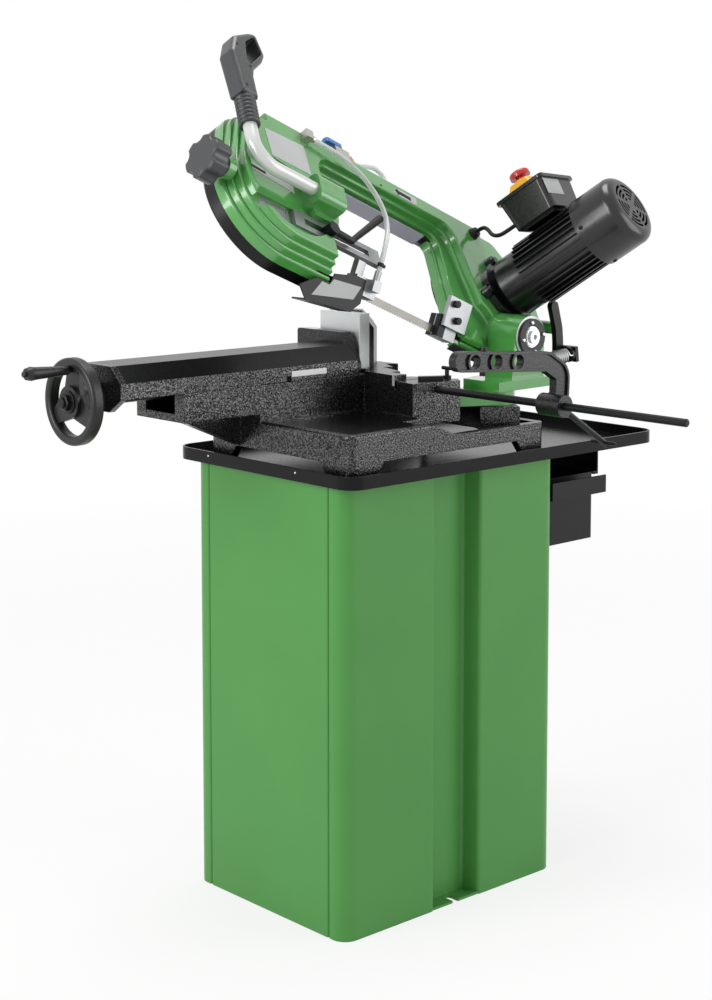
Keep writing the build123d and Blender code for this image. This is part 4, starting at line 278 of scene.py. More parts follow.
# Ground steel: bare grey with fine lines along the stroke of the wheel
GROUND_STEEL = Finish(
    "ground_steel", "#9EA0A2", Grain.BRUSHED, 1.2, 0.006, 0.34, "machined_steel",
    metallic=0.8, along=(0.08, 1.0, 1.0), spread=0.04, shade=0.04, shade_mm=25.0,
)
# Milled jaw face: pale grey iron, duller than ground steel
MILLED_IRON = Finish(
    "milled_iron", "#C6C7C8", Grain.BRUSHED, 1.8, 0.01, 0.42, "machined_steel",
    metallic=0.6, along=(0.1, 1.0, 1.0), spread=0.05, shade=0.04, shade_mm=30.0,
)
# Cold drawn bar, oiled black: dark with a long sheen
BLACK_BAR = Finish(
    "blackened_drawn_steel", "#1B1B1D", Grain.DRAWN, 1.0, 0.02, 0.30, "machined_steel",
    metallic=0.4, specular=0.3, along=(0.1, 1.0, 1.0),
)
# Band steel: brownish grey with rolled lines
BAND_STEEL = Finish(
    "rolled_band_steel", "#85827E", Grain.BRUSHED, 2.0, 0.004, 0.36, "machined_steel",
    metallic=0.8, along=(1.0, 0.1, 0.3), spread=0.04, shade=0.06, edge_mm=0.1,
)
# Bright zinc plate on rivets, cap screws and the spring: small clear mirrors
ZINC = Finish(
    "bright_zinc_plate", "#C6C8C9", Grain.DRAWN, 1.5, 0.01, 0.24, "zinc_plate",
    metallic=1.0, shade=0.06, shade_mm=8.0, edge_mm=0.3,
)
# Nickel plate on the valve and the hose tail: warm silver
NICKEL = Finish(
    "nickel_plated_brass", "#B9B5AE", Grain.DRAWN, 1.2, 0.01, 0.26, "brass",
    metallic=1.0, shade=0.06, shade_mm=6.0,
)
# Bare copper alloy of the compression nut: warm and reddish
COPPER = Finish(
    "bare_copper_alloy", "#C48A72", Grain.DRAWN, 1.0, 0.01, 0.30, "brass",
    metallic=1.0, shade=0.06, shade_mm=5.0,
)
# Turned bronze of the nut that the vise screw runs in: dull gold
BRONZE = Finish(
    "turned_bronze", "#B4924F", Grain.DRAWN, 1.0, 0.01, 0.30, "brass",
    metallic=1.0, shade=0.08, shade_mm=6.0,
)
# Black oxide on levers and socket screws: nearly black with a thin steel sheen
BLACK_OXIDE = Finish(
    "black_oxide_steel", "#121214", Grain.DRAWN, 1.0, 0.01, 0.34, "machined_steel",
    metallic=0.3, specular=0.35, edge_mm=0.4,
)
# Moulded nylon with a fine spark-eroded texture: dark grey, never quite black, with wide soft edges
GREY_NYLON = Finish(
    "moulded_grey_nylon", "#323335", Grain.MOULDED, 1.6, 0.03, 0.36, "dark_grey_plastic",
    specular=0.6, edge_mm=4.5,
)
# Moulded black nylon of the wheel and the cap: the same texture, darker
BLACK_NYLON = Finish(
    "moulded_black_nylon", "#161617", Grain.MOULDED, 1.6, 0.05, 0.38, "dark_grey_plastic",
    specular=0.4, edge_mm=0.8,
)
# Moulded black ABS of the switch box: smoother and glossier
BLACK_ABS = Finish(
    "moulded_black_abs", "#0D0D0E", Grain.MOULDED, 3.0, 0.01, 0.22, "dark_grey_plastic",
    spread=0.03, specular=0.55, edge_mm=1.0,
)
# Lacquered aluminium tube: pale silver, soft gloss
SILVER_TUBE = Finish(
    "silver_lacquered_tube", "#D2D4D1", Grain.SPRAYED, 9.0, 0.005, 0.24, "silver_aluminium",
    metallic=0.15, coat=0.3, spread=0.02, shade=0.02,
)
# Painted steel angle over the returning blade: pale with a violet cast
PALE_ENAMEL = Finish(
    "pale_violet_enamel", "#B9B6C6", Grain.SPRAYED, 3.0, 0.01, 0.40, "silver_aluminium",
    specular=0.3, shade=0.03,
)
# Bare plate blank: pale matt aluminium
PLATE_BLANK = Finish(
    "matt_aluminium_plate", "#BCBEBE", Grain.BRUSHED, 0.9, 0.005, 0.50, "silver_aluminium",
    specular=0.25, along=(0.1, 1.0, 0.1), shade=0.03, edge_mm=0.2,
)
# Dark grey painted sheet of the chip deflector: flat, with hardly a highlight
DARK_SHEET = Finish(
    "dark_grey_painted_sheet", "#343536", Grain.SPRAYED, 2.0, 0.02, 0.42, "dark_sheet", specular=0.35,
)
# Signal yellow, red and blue ABS mouldings: strong even colours under a soft gloss
YELLOW_ABS = Finish(
    "moulded_yellow_abs", "#E9AE1B", Grain.MOULDED, 2.0, 0.02, 0.34, "yellow_plastic", shade=0.04, coat=0.1,
)
RED_ABS = Finish(
    "moulded_red_abs", "#BE2318", Grain.MOULDED, 2.0, 0.02, 0.30, "red_plastic", shade=0.05, coat=0.2,
)
BLUE_ABS = Finish(
    "moulded_blue_abs", "#2F6FB0", Grain.MOULDED, 2.0, 0.02, 0.32, "blue_plastic", shade=0.05, coat=0.2,
)
# Soft rubber cable jacket: dull black
RUBBER = Finish(
    "black_cable_rubber", "#111112", Grain.MOULDED, 1.5, 0.02, 0.55, "black_rubber", specular=0.3,
)
# Clear vinyl hose: milky white where the light goes through two walls
VINYL = Finish(
    "clear_vinyl_hose", "#E3E8E6", Grain.DRAWN, 3.0, 0.01, 0.14, "clear_hose",
    transmission=0.45, ior=1.52, shade=0.03, spread=0.03, edge_mm=0.1,
)
# Screen printed marks, and painted shade of the beam's hole and of the grip's screw holes: flat black
PRINT_AND_HOLE_SHADE_BLACK = Finish(
    "printed_black_and_painted_hole_shade", "#101010", Grain.SPRAYED, 1.5, 0.005, 0.45, "black_enamel", specular=0.2, edge_mm=0.05,
)


# Meshes

def frame_at(origin: Vector, normal: Vector, along: Vector) -> Matrix:
    """Matrix of a face: z along its normal, x as near as can be to a direction.

    Args:
        origin: Point on the face, in metres.
        normal: Outward direction.
        along: Direction that x follows.

    Returns:
        A 4 by 4 matrix without scale.
    """
    z = normal.normalized()
    x = (along - z * along.dot(z)).normalized()
    y = z.cross(x)
    rows = [(x[i], y[i], z[i], origin[i]) for i in range(3)]
    return Matrix([*rows, (0, 0, 0, 1)])


def add_object(name: str, data: bpy.types.ID) -> bpy.types.Object:
    """Adds an object to the scene.

    Args:
        name: Name of the object.
        data: Its mesh, curve, light or camera.

    Returns:
        The new object.
    """
    made = bpy.data.objects.new(name, data)
    bpy.context.scene.collection.objects.link(made)
    return made


def add_piece(name: str, mesh: Mesh, finish: Finish, body: str) -> None:
    """Turns a finished bmesh into a piece that rides on a body.

    Args:
        name: Name of the piece.
        mesh: Geometry in metres, in the row frame. It is freed.
        finish: Surface of the piece.
        body: CAD body that the piece rides on.
    """
    bmesh.ops.recalc_face_normals(mesh, faces=mesh.faces[:])
    for face in mesh.faces:
        face.smooth = True
    for edge in mesh.edges:
        edge.smooth = len(edge.link_faces) == 2 and edge.calc_face_angle() < radians(SMOOTH_ANGLE)
    data = bpy.data.meshes.new(name)
    mesh.to_mesh(data)
    mesh.free()
    data.materials.append(finish.material())
    piece = add_object(name, data)
    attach(piece, body)
    LOG.info("piece %s on %s, %s", name, body, finish.name)


def add_lathe(
    mesh: Mesh, profile: Sequence[Pair], place: Matrix, sides: int = 32, hollow: bool = False
) -> None:
    """Adds a turned form to a mesh.

    Args:
        mesh: Mesh that gets the form.
        profile: Radius and height pairs in millimetres, from one end to the other.
        place: Matrix of its axis.
        sides: Number of faces round it.
        hollow: Whether the profile closes on itself, as a ring's does.
    """
    turn = [2 * pi * k / sides for k in range(sides)]
    rings = []
    for radius, height in profile:
        spots = [(radius * cos(a) * MM, radius * sin(a) * MM, height * MM) for a in turn]
        rings.append([mesh.verts.new(place @ Vector(p)) for p in spots])
    for low, high in zip(rings, rings[1:] + rings[:1] if hollow else rings[1:]):
        for k in range(sides):
            mesh.faces.new((low[k], low[(k + 1) % sides], high[(k + 1) % sides], high[k]))
    if not hollow:
        mesh.faces.new(rings[0][::-1])
        mesh.faces.new(rings[-1])


def add_slab(mesh: Mesh, outline: Sequence[Pair], depth: float, place: Matrix, bevel: float = 0.3) -> None:
    """Adds a flat plate with softened upper edges to a mesh.

    Args:
        mesh: Mesh that gets the plate.
        outline: Corners in millimetres, in the face's plane, counter-clockwise.
        depth: Thickness in millimetres, along the face's normal.
        place: Matrix of the face that carries the plate.
        bevel: Width of the softened edge in millimetres.
    """
    middle = Vector((sum(p[0] for p in outline), sum(p[1] for p in outline))) / len(outline)
    rings = []
    for height, inset in ((0.0, 0.0), (depth - bevel, 0.0), (depth, bevel)):
        ring = []
        for x, y in outline:
            away = Vector((x, y)) - middle
            spot = middle + away * (1 - inset / max(away.length, 1e-6))
            ring.append(mesh.verts.new(place @ Vector((spot.x * MM, spot.y * MM, height * MM))))
        rings.append(ring)
    count = len(outline)
    for low, high in zip(rings, rings[1:]):
        for k in range(count):
            mesh.faces.new((low[k], low[(k + 1) % count], high[(k + 1) % count], high[k]))
    mesh.faces.new(rings[0][::-1])
    mesh.faces.new(rings[-1])


def box(left: float, low: float, right: float, high: float) -> Pairs:
    """Outline of a rectangle from its limits, counter-clockwise."""
    return (left, low), (right, low), (right, high), (left, high)


@dataclass(frozen=True)
class Plate:
    """A thin plate that lies on a face of a body. Its sizes are in millimetres."""

    name: str
    body: str
    finish: Finish
    depth: float
    outline: Sequence[Pair]

    def add(self, place: Matrix) -> None:
        """Makes the plate's piece.

        Args:
            place: Matrix of the face that carries it.
        """
        mesh = bmesh.new()
        add_slab(mesh, self.outline, self.depth, place, bevel=0.3 * self.depth)
        add_piece(self.name, mesh, self.finish, self.body)


def nurbs_line(
    name: str, points: Sequence[Vector], diameter: float, segments: int, roundness: int
) -> bpy.types.Curve:
    """Makes a smooth open line with points as its control points.

    Args:
        name: Name of the curve.
        points: Control points, in metres.
        diameter: Thickness in millimetres, or 0 for a bare line.
        segments: Steps between two control points.
        roundness: Bevel resolution of the thick line.

    Returns:
        The curve's data.
    """
    line = bpy.data.curves.new(name, "CURVE")
    line.dimensions = "3D"
    spline = line.splines.new("NURBS")
    spline.points.add(len(points) - 1)
    for target, point in zip(spline.points, points):
        target.co = (*point, 1.0)
    spline.order_u = 3
    spline.use_endpoint_u = True
    line.resolution_u = segments
    line.bevel_depth = diameter / 2 * MM
    line.bevel_resolution = roundness
    line.use_fill_caps = diameter > 0
    return line


def line_mesh(line: bpy.types.Curve) -> bpy.types.Mesh:
    """Turns a line into a mesh: a tube, or bare points where the line has no thickness.

    Args:
        line: Curve to turn. It is removed.

    Returns:
        The new mesh.
    """
    carrier = add_object(line.name, line)
    bpy.context.view_layer.update()
    data = bpy.data.meshes.new_from_object(carrier.evaluated_get(bpy.context.evaluated_depsgraph_get()))
    bpy.data.objects.remove(carrier)
    bpy.data.curves.remove(line)
    return data


def curve_to_piece(name: str, line: bpy.types.Curve, finish: Finish) -> bpy.types.Object:
    """Turns a thick line into a mesh piece with no body yet.

    Args:
        name: Name of the piece.
        line: Curve with its bevel set. It is removed.
        finish: Surface of the piece.

    Returns:
        The new mesh object.
    """
    data = line_mesh(line)
    data.name = name
    data.materials.append(finish.material())
    for polygon in data.polygons:
        polygon.use_smooth = True
    piece = add_object(name, data)
    LOG.info("piece %s, %s", name, finish.name)
    return piece


@dataclass(frozen=True)
class Arrow:
    """A plain printed arrow. Its spot is a (u, v) point of the bow, its turn from the blade is in degrees."""

    spot: Pair
    length: float
    width: float
    turn: float

    def outline(self) -> list[Pair]:
        """Outline that points along x, centred on the origin.

        Returns:
            Corner points in millimetres, counter-clockwise.
        """
        # The head is 0.6 widths long and the stem 0.52 widths wide
        tip, neck, stem = self.length / 2, self.length / 2 - 0.6 * self.width, 0.26 * self.width
        upper = [(tip, 0.0), (neck, self.width / 2), (neck, stem), (-tip, stem)]
        return upper + [(x, -y) for x, y in upper[:0:-1]]


class Head(Enum):
    """Kinds of screw head, in thread diameters: the turned profile, then the driver's recess.

    A recess has its radius, the height of its mouth, its depth and its number of walls. A sunk head lies in
    a plain hole and is drawn as a flat disc, whose dark finish paints the hole's shade round the head as a
    dark ring.
    """

    SOCKET = ((0.75, 0.0), (0.75, 0.9), (0.68, 1.0), (0.46, 1.0)), (0.46, 1.0, 0.5, 6)
    PAN = (
        tuple((0.95 * cos(a), 0.62 * sin(a)) for a in (0.0, 0.35, 0.7, 1.05)),
        (0.36, 0.56, 0.25, 4),
    )
    SUNK = ((1.0, 0.0), (1.0, 0.06), (0.9, 0.08), (0.8, 0.02)), ()


@dataclass(frozen=True)
class Screw:
    """A screw head that stands on a face. The thread's size is in millimetres."""

    thread: float
    head: Head
    finish: Finish

    def add(self, mesh: Mesh, place: Matrix) -> None:
        """Adds the head, with its recess, to a mesh.

        Args:
            mesh: Mesh that gets the head.
            place: Matrix of the face under the head.
        """
        profile, recess = self.head.value
        add_lathe(mesh, [(r * self.thread, h * self.thread) for r, h in profile], place, HEAD_SIDES)
        if recess:
            *sizes, walls = recess
            radius, top, depth = (size * self.thread for size in sizes)
            # The mouth stands a hair over the head, so that the two faces do not fight
            mouth = [(radius, top + 0.02), (radius * 0.98, top + 0.03)]
            add_lathe(mesh, mouth + [(radius * 0.9, top - depth), (0.05, top - depth)], place, walls)


def add_screws(name: str, screw: Screw, places: Iterable[Matrix], body: str) -> None:
    """Makes one piece of several equal screw heads.

    Args:
        name: Name of the piece.
        screw: Kind of screw.
        places: Matrix of the face under each head.
        body: CAD body that carries them.
    """
    mesh = bmesh.new()
    for place in places:
        screw.add(mesh, place)
    add_piece(name, mesh, screw.finish, body)


def dress(finish: Finish, *nodes: str) -> None:
    """Gives CAD nodes a finish.

    Args:
        finish: Surface of the nodes.
        *nodes: Names of the CAD nodes.
    """
    for name in nodes:
        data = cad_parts[name].data
        data.materials.clear()
        data.materials.append(finish.material())
        LOG.info("node %s, %s", name, finish.name)


@dataclass(frozen=True)
class BowPlane:
    """The bow's own plane at rest: u forward along the blade, v across the wheels, n along their axles.

    Angles are in degrees, the foot is in millimetres.
    """

    foot: Point = (58.0, 203.0802, 851.567)
    raise_angle: float = 22.5
    tilt: float = 37.0

    @property
    def u(self) -> Vector:
        """Direction forward along the blade."""
        beta = radians(self.raise_angle)
        return Vector((0, -cos(beta), sin(beta)))

    @property
    def v(self) -> Vector:
        """Direction up across the wheels."""
        beta, alpha = radians(self.raise_angle), radians(self.tilt)
        return Vector((-sin(alpha), cos(alpha) * sin(beta), cos(alpha) * cos(beta)))

    @property
    def n(self) -> Vector:
        """Direction along the axles to the motor."""
        beta, alpha = radians(self.raise_angle), radians(self.tilt)
        return Vector((cos(alpha), sin(alpha) * sin(beta), sin(alpha) * cos(beta)))

    @property
    def w(self) -> Vector:
        """Direction upright across the blade, square to the stock."""
        beta = radians(self.raise_angle)
        return Vector((0, sin(beta), cos(beta)))

    def spot(self, u: float, v: float, n: float) -> Vector:
        """Point of the bow in metres."""
        return (Vector(self.foot) + self.u * u + self.v * v + self.n * n) * MM

    def cut(self, u: float, w: float, x: float) -> Vector:
        """Point beside the upright blade in metres."""
        return (Vector(self.foot) + self.u * u + self.w * w + X * x) * MM

    def face(self, u: float, v: float, n: float) -> Matrix:
        """Place on a face square to the axles, with x forward and y down across the wheels."""
        return frame_at(self.spot(u, v, n), self.n, self.u)

    def side(self, x: float) -> Matrix:
        """Place on a face square to the stock, with x forward and y down across the blade."""
        return frame_at(self.cut(0, 0, x), X, self.u)


BOW = BowPlane()


# Sub-assemblies. Their sizes are in millimetres and their angles in degrees.

@dataclass
class Stand:
    """Folded sheet stand."""

    def build(self) -> None:
        """Dresses the sheets."""
        dress(POWDER_COAT, "stand_side_right", "stand_side_left", "stand_front_panel", "stand_rear_panel")


@dataclass
class TrayAndTank:
    """Chip tray on the stand, with the coolant tank on rails under its rear end."""

    rim_y: float = -250.0
    rivet_z: float = 713.0
    rivets_x: Pair = (-124.7, 87.0)

    def build(self) -> None:
        """Dresses the tray, the rails and the tank, and rivets the rim."""
        dress(TRAY_ENAMEL, "chip_tray")
        dress(SATIN_BLACK, "tank_rails", "coolant_tank")
        places = [frame_at(Vector((x, self.rim_y, self.rivet_z)) * MM, -Y, X) for x in self.rivets_x]
        add_screws("tray_rivets", Screw(2.0, Head.PAN, ZINC), places, "stand")


@dataclass
class BaseAndVise:
    """Base casting with the vise on its left and the blade slot in its table."""

    pan_z: float = 773.0
    pan_floor: Plate = Plate("pan_floor_sheet", "stand", TRAY_ENAMEL, 0.4, (
        (-9, -214), (173, -214), (173, -50), (109, -50), (109, -17.6), (-9, -17.6),
    ))
    vise_x: float = -82.0
    screw_z: float = 830.0
    wheel_y: float = -541.0
    jaw_top_z: float = 899.3
    jaw_strip: Plate = Plate("jaw_top_strip", "vise", MILLED_IRON, 0.3, box(-166, -21, -128, -1))
    gib_x: float = -22.0
    gib: Plate = Plate("gib_strip", "vise", MILLED_IRON, 0.8, box(-163, 841, -90, 850))
    slot_end: Point = (52.6, -13.6, 838.0)
    slot_normal: Point = (-0.073, -1.0, 0.0)
    slot_plate: Plate = Plate("blade_slot_end", "stand", MILLED_IRON, 0.3, box(-2.7, -17, 2.7, 0))

    def build(self) -> None:
        """Dresses the castings and adds their small pieces."""
        dress(RAW_IRON, "base_casting", "vise_slide")
        dress(FINE_IRON, "moving_jaw", "fixed_jaw")
        dress(SATIN_BLACK, "vise_cover")
        dress(MILLED_IRON, "fixed_jaw_plate")
        dress(BRONZE, "screw_nut")
        dress(BLACK_BAR, "vise_screw")
        dress(BLACK_NYLON, "handwheel", "crank_grip")
        dress(BLACK_OXIDE, "angle_lock", "angle_pointer")
        self._wheel_hub()
        self.pan_floor.add(frame_at(Vector((0, 0, self.pan_z)) * MM, Z, X))
        self.jaw_strip.add(frame_at(Vector((0, 0, self.jaw_top_z)) * MM, Z, X))
        self.gib.add(frame_at(Vector((self.gib_x, 0, 0)) * MM, X, Y))
        self.slot_plate.add(frame_at(Vector(self.slot_end) * MM, Vector(self.slot_normal), X))

    def _wheel_hub(self) -> None:
        """Adds the washer, the nut and the screw's end that hold the handwheel."""
        washer = [(17, 0), (17, 2), (15, 2.6)]
        nut = [(13, 2), (13, 9), (11, 10.5)]
        screw_end = [(8, 9), (8, 13), (7, 14)]
        mesh = bmesh.new()
        place = frame_at(Vector((self.vise_x, self.wheel_y, self.screw_z)) * MM, -Y, X)
        add_lathe(mesh, washer, place)
        add_lathe(mesh, nut, place, sides=6)
        add_lathe(mesh, screw_end, place)
        add_piece("handwheel_nut", mesh, BLACK_OXIDE, "handwheel")


@dataclass
class LengthStop:
    """Rod, hooked arm and clamp lever that set the length of a cut."""

    arm_x: float = 344.0
    tip: Pair = (-160.0, 896.0)
    root: Pair = (22.0, 883.0)
    screw_reach: float = 49.0
    half_width: float = 15.0

    def build(self) -> None:
        """Dresses the rod, the arm and the lever, and adds the arm's set screws."""
        dress(BLACK_BAR, "stop_rod", "stop_lever")
        dress(FINE_IRON, "stop_arm")
        tip = Vector((self.arm_x, *self.tip))
        along = (Vector((self.arm_x, *self.root)) - tip).normalized()
        across = X.cross(along)
        middle = tip + along * self.screw_reach
        places = [
            frame_at((middle + across * self.half_width * way) * MM, across * way, along) for way in (1, -1)
        ]
        add_screws("arm_set_screws", Screw(6.0, Head.SOCKET, BLACK_OXIDE), places, "stop_arm")


@dataclass
class Swivel:
    """Swivel bracket with the bow's bearing and the counterbalance spring."""

    pivot: Point = (135.0, 219.0, 890.0)
    face_ring: Pairs = ((30.2, 0), (30.2, 0.3), (34.2, 0.3), (34.8, 0))
    face_sides: int = 64
    cap_depth: float = 5.0
    cap_screw_r: float = 24.0
    cap_screw_turns: tuple[float, ...] = (8.0, 98.0, 188.0, 278.0)
    spring_foot: Point = (118.0, 252.0, 841.0)
    spring_tilt: float = 7.0
    spring_seat: float = 9.0
    spring_length: float = 70.0
    spring_radius: float = 11.5
    wire: float = 3.0
    pitch: float = 5.0
    coils: int = 11
    steps: int = 20

    def build(self) -> None:
        """Dresses the bracket, closes its bearing and winds the spring."""
        dress(CAST_ENAMEL, "swivel_bracket")
        dress(BLACK_NYLON, "pivot_cap")
        dress(ZINC, "pivot_shaft")
        dress(BLACK_OXIDE, "spring_bolt")
        dress(SATIN_BLACK, "tail_lever")
        self._bearing()
        self._spring()

    def _bearing(self) -> None:
        """Adds the bare face of the housing and the screws of its cap."""
        face = frame_at(Vector(self.pivot) * MM, X, Y)
        mesh = bmesh.new()
        add_lathe(mesh, self.face_ring, face, self.face_sides, hollow=True)
        add_piece("bearing_face", mesh, GROUND_STEEL, "swivel")
        seat = Matrix.Translation((self.cap_screw_r * MM, 0, self.cap_depth * MM))
        places = [face @ Matrix.Rotation(radians(turn), 4, "Z") @ seat for turn in self.cap_screw_turns]
        add_screws("cap_screws", Screw(3.5, Head.SOCKET, ZINC), places, "swivel")

    def _spring(self) -> None:
        """Winds the spring as one wire between its seats."""
        tilt = radians(self.spring_tilt)
        axis = Vector((0, cos(tilt), sin(tilt)))
        start = (Vector(self.spring_foot) + axis * self.spring_seat) * MM
        place = frame_at(start, axis, X)
        radius = self.spring_radius
        lead = (self.spring_length - self.coils * self.pitch) / 2
        points = [(radius, 0, 0)]
        for k in range(self.coils * self.steps + 1):
            angle, height = 2 * pi * k / self.steps, lead + self.pitch * k / self.steps
            points.append((radius * cos(angle), radius * sin(angle), height))
        points.append((radius, 0, self.spring_length))
        wound = [place @ (Vector(point) * MM) for point in points]
        line = nurbs_line("spring_line", wound, self.wire, segments=2, roundness=3)
        piece = curve_to_piece("counterbalance_spring", line, ZINC)
        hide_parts("lift_spring")
        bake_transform(piece)


@dataclass
class Bow:
    """Tilted bow casting with its wheels, blade, covers and plates. On a face, x is forward and y down."""

    face_n: float = 48.0
    floor_n: float = 36.0
    lug_n: float = 77.8
    data_plate: Plate = Plate("data_plate_blank", "bow", PLATE_BLANK, 0.5, (
        (530, -203), (443, -209), (439, -150), (524, -149.5),
    ))
    floor_strip: Plate = Plate("floor_strip_blank", "bow", PLATE_BLANK, 0.4, (
        (474, -104), (570, -112), (571, -126), (475, -118),
    ))
    beam_plate: Plate = Plate("beam_plate_blank", "bow", PLATE_BLANK, 0.3, (
        (231, -219), (213, -232), (168, -232), (172, -216), (210, -215.5),
    ))
    floor_arrow: Arrow = Arrow((552.0, 117.5), 36.0, 11.0, 4.0)
    beam_arrow: Arrow = Arrow((205.0, 223.0), 40.0, 15.0, 2.0)
    ink: float = 0.1
    painted_beam_hole_shade: Pair = (260.0, 217.5)
    lug_screws: Pairs = ((446, 106), (424, 108))

    def build(self) -> None:
        """Dresses the bow's castings and sheets, adds its plates and marks, and paints the beam hole's shade.
        """
        dress(CAST_ENAMEL, "bow_casting")
        dress(SATIN_BLACK, "front_cover", "rear_cover")
        dress(PALE_ENAMEL, "return_guard")
        dress(DARK_SHEET, "chip_deflector")
        dress(BAND_STEEL, "saw_blade")
        dress(FINE_IRON, "drive_wheel", "idler_wheel")
        dress(GROUND_STEEL, "idler_block")
        dress(GREY_NYLON, "tension_knob")
        self.data_plate.add(BOW.face(0, 0, self.face_n))
        self.floor_strip.add(BOW.face(0, 0, self.floor_n))
        self.beam_plate.add(BOW.face(0, 0, self.face_n))
        self._arrow("floor_arrow", self.floor_arrow, self.floor_n + self.floor_strip.depth)
        self._arrow("beam_arrow", self.beam_arrow, self.face_n + self.beam_plate.depth)
        # A flat black disc stands for the beam's hole: painted shade of the hole
        hole = BOW.face(*self.painted_beam_hole_shade, self.face_n)
        add_screws("painted_beam_hole_shade", Screw(2.4, Head.SUNK, PRINT_AND_HOLE_SHADE_BLACK), [hole], "bow")
        # Flat black oxide discs for the lug's sunk set screws: the screws' own black, with painted shade of
        # their holes round them
        places = [BOW.face(u, v, self.lug_n) for u, v in self.lug_screws]
        add_screws("lug_set_screws_and_hole_shade", Screw(3.2, Head.SUNK, BLACK_OXIDE), places, "bow")

    def _arrow(self, name: str, arrow: Arrow, n: float) -> None:
        """Prints an arrow on a face square to the axles."""
        place = BOW.face(*arrow.spot, n) @ Matrix.Rotation(radians(-arrow.turn), 4, "Z")
        Plate(name, "bow", PRINT_AND_HOLE_SHADE_BLACK, self.ink, arrow.outline()).add(place)


@dataclass
class Motor:
    """Ribbed motor with its fan cowl, switch box and stop button.

    The box is turned about the motor's axle. Its end face leans by a rise over a run.
    """

    axle: Pair = (-16.0, 106.0)
    switch_turn: float = 22.3
    cowl_r: float = 61.0
    cowl_screw_n: float = 257.0
    lid_out: float = 120.0
    lid_half: float = 50.0
    lid_n: Pair = (147.0, 231.0)
    end_n: float = 230.0
    end_out: float = 62.0
    end_lean: Pair = (5.0, 58.0)
    end_plate: Plate = Plate("switch_plate_blank", "bow", PLATE_BLANK, 0.5, box(-50, 22, 4, 50))

    def build(self) -> None:
        """Dresses the motor and the switch and adds their screws and the bare plate."""
        dress(MOTOR_PAINT, "motor_flange", "motor_housing", "fan_cowl")
        dress(BLACK_NYLON, "cooling_fan")
        dress(BLACK_ABS, "switch_box")
        dress(YELLOW_ABS, "stop_housing")
        dress(RED_ABS, "stop_button")
        turn = radians(self.switch_turn)
        out = BOW.u * sin(turn) + BOW.v * cos(turn)
        across = BOW.v * sin(turn) - BOW.u * cos(turn)
        rim = BOW.spot(*self.axle, self.cowl_screw_n)
        ways = (out, across, -out, -across)
        places = [frame_at(rim + way * self.cowl_r * MM, way, BOW.n) for way in ways]
        add_screws("cowl_screws", Screw(4.0, Head.PAN, BLACK_OXIDE), places, "bow")
        lid = [
            frame_at(BOW.spot(*self.axle, n) + (out * self.lid_out + across * side) * MM, out, across)
            for n in self.lid_n
            for side in (-self.lid_half, self.lid_half)
        ]
        add_screws("lid_screws", Screw(3.0, Head.PAN, BLACK_OXIDE), lid, "bow")
        lean = atan2(*self.end_lean)
        end = BOW.spot(*self.axle, self.end_n) + out * self.end_out * MM
        self.end_plate.add(frame_at(end, BOW.n * cos(lean) - out * sin(lean), across))


@dataclass
class Handle:
    """Bent tube with a moulded grip and its trigger."""

    grip_n: float = 80.0
    grip_screw_holes_painted_shade: Pairs = ((594, 320), (573, 284), (590, 236))

    def build(self) -> None:
        """Dresses the tube, the grip and the trigger, and puts discs of painted shade where the grip's screws
        sink.
        """
        dress(SILVER_TUBE, "handle_tube")
        dress(GREY_NYLON, "handle_grip")
        dress(BLACK_ABS, "trigger")
        # Flat printed black discs where the grip's screws sink in their holes: painted shade of the holes
        places = [BOW.face(u, v, self.grip_n) for u, v in self.grip_screw_holes_painted_shade]
        add_screws("grip_screw_holes_painted_shade", Screw(2.6, Head.SUNK, PRINT_AND_HOLE_SHADE_BLACK), places, "bow")


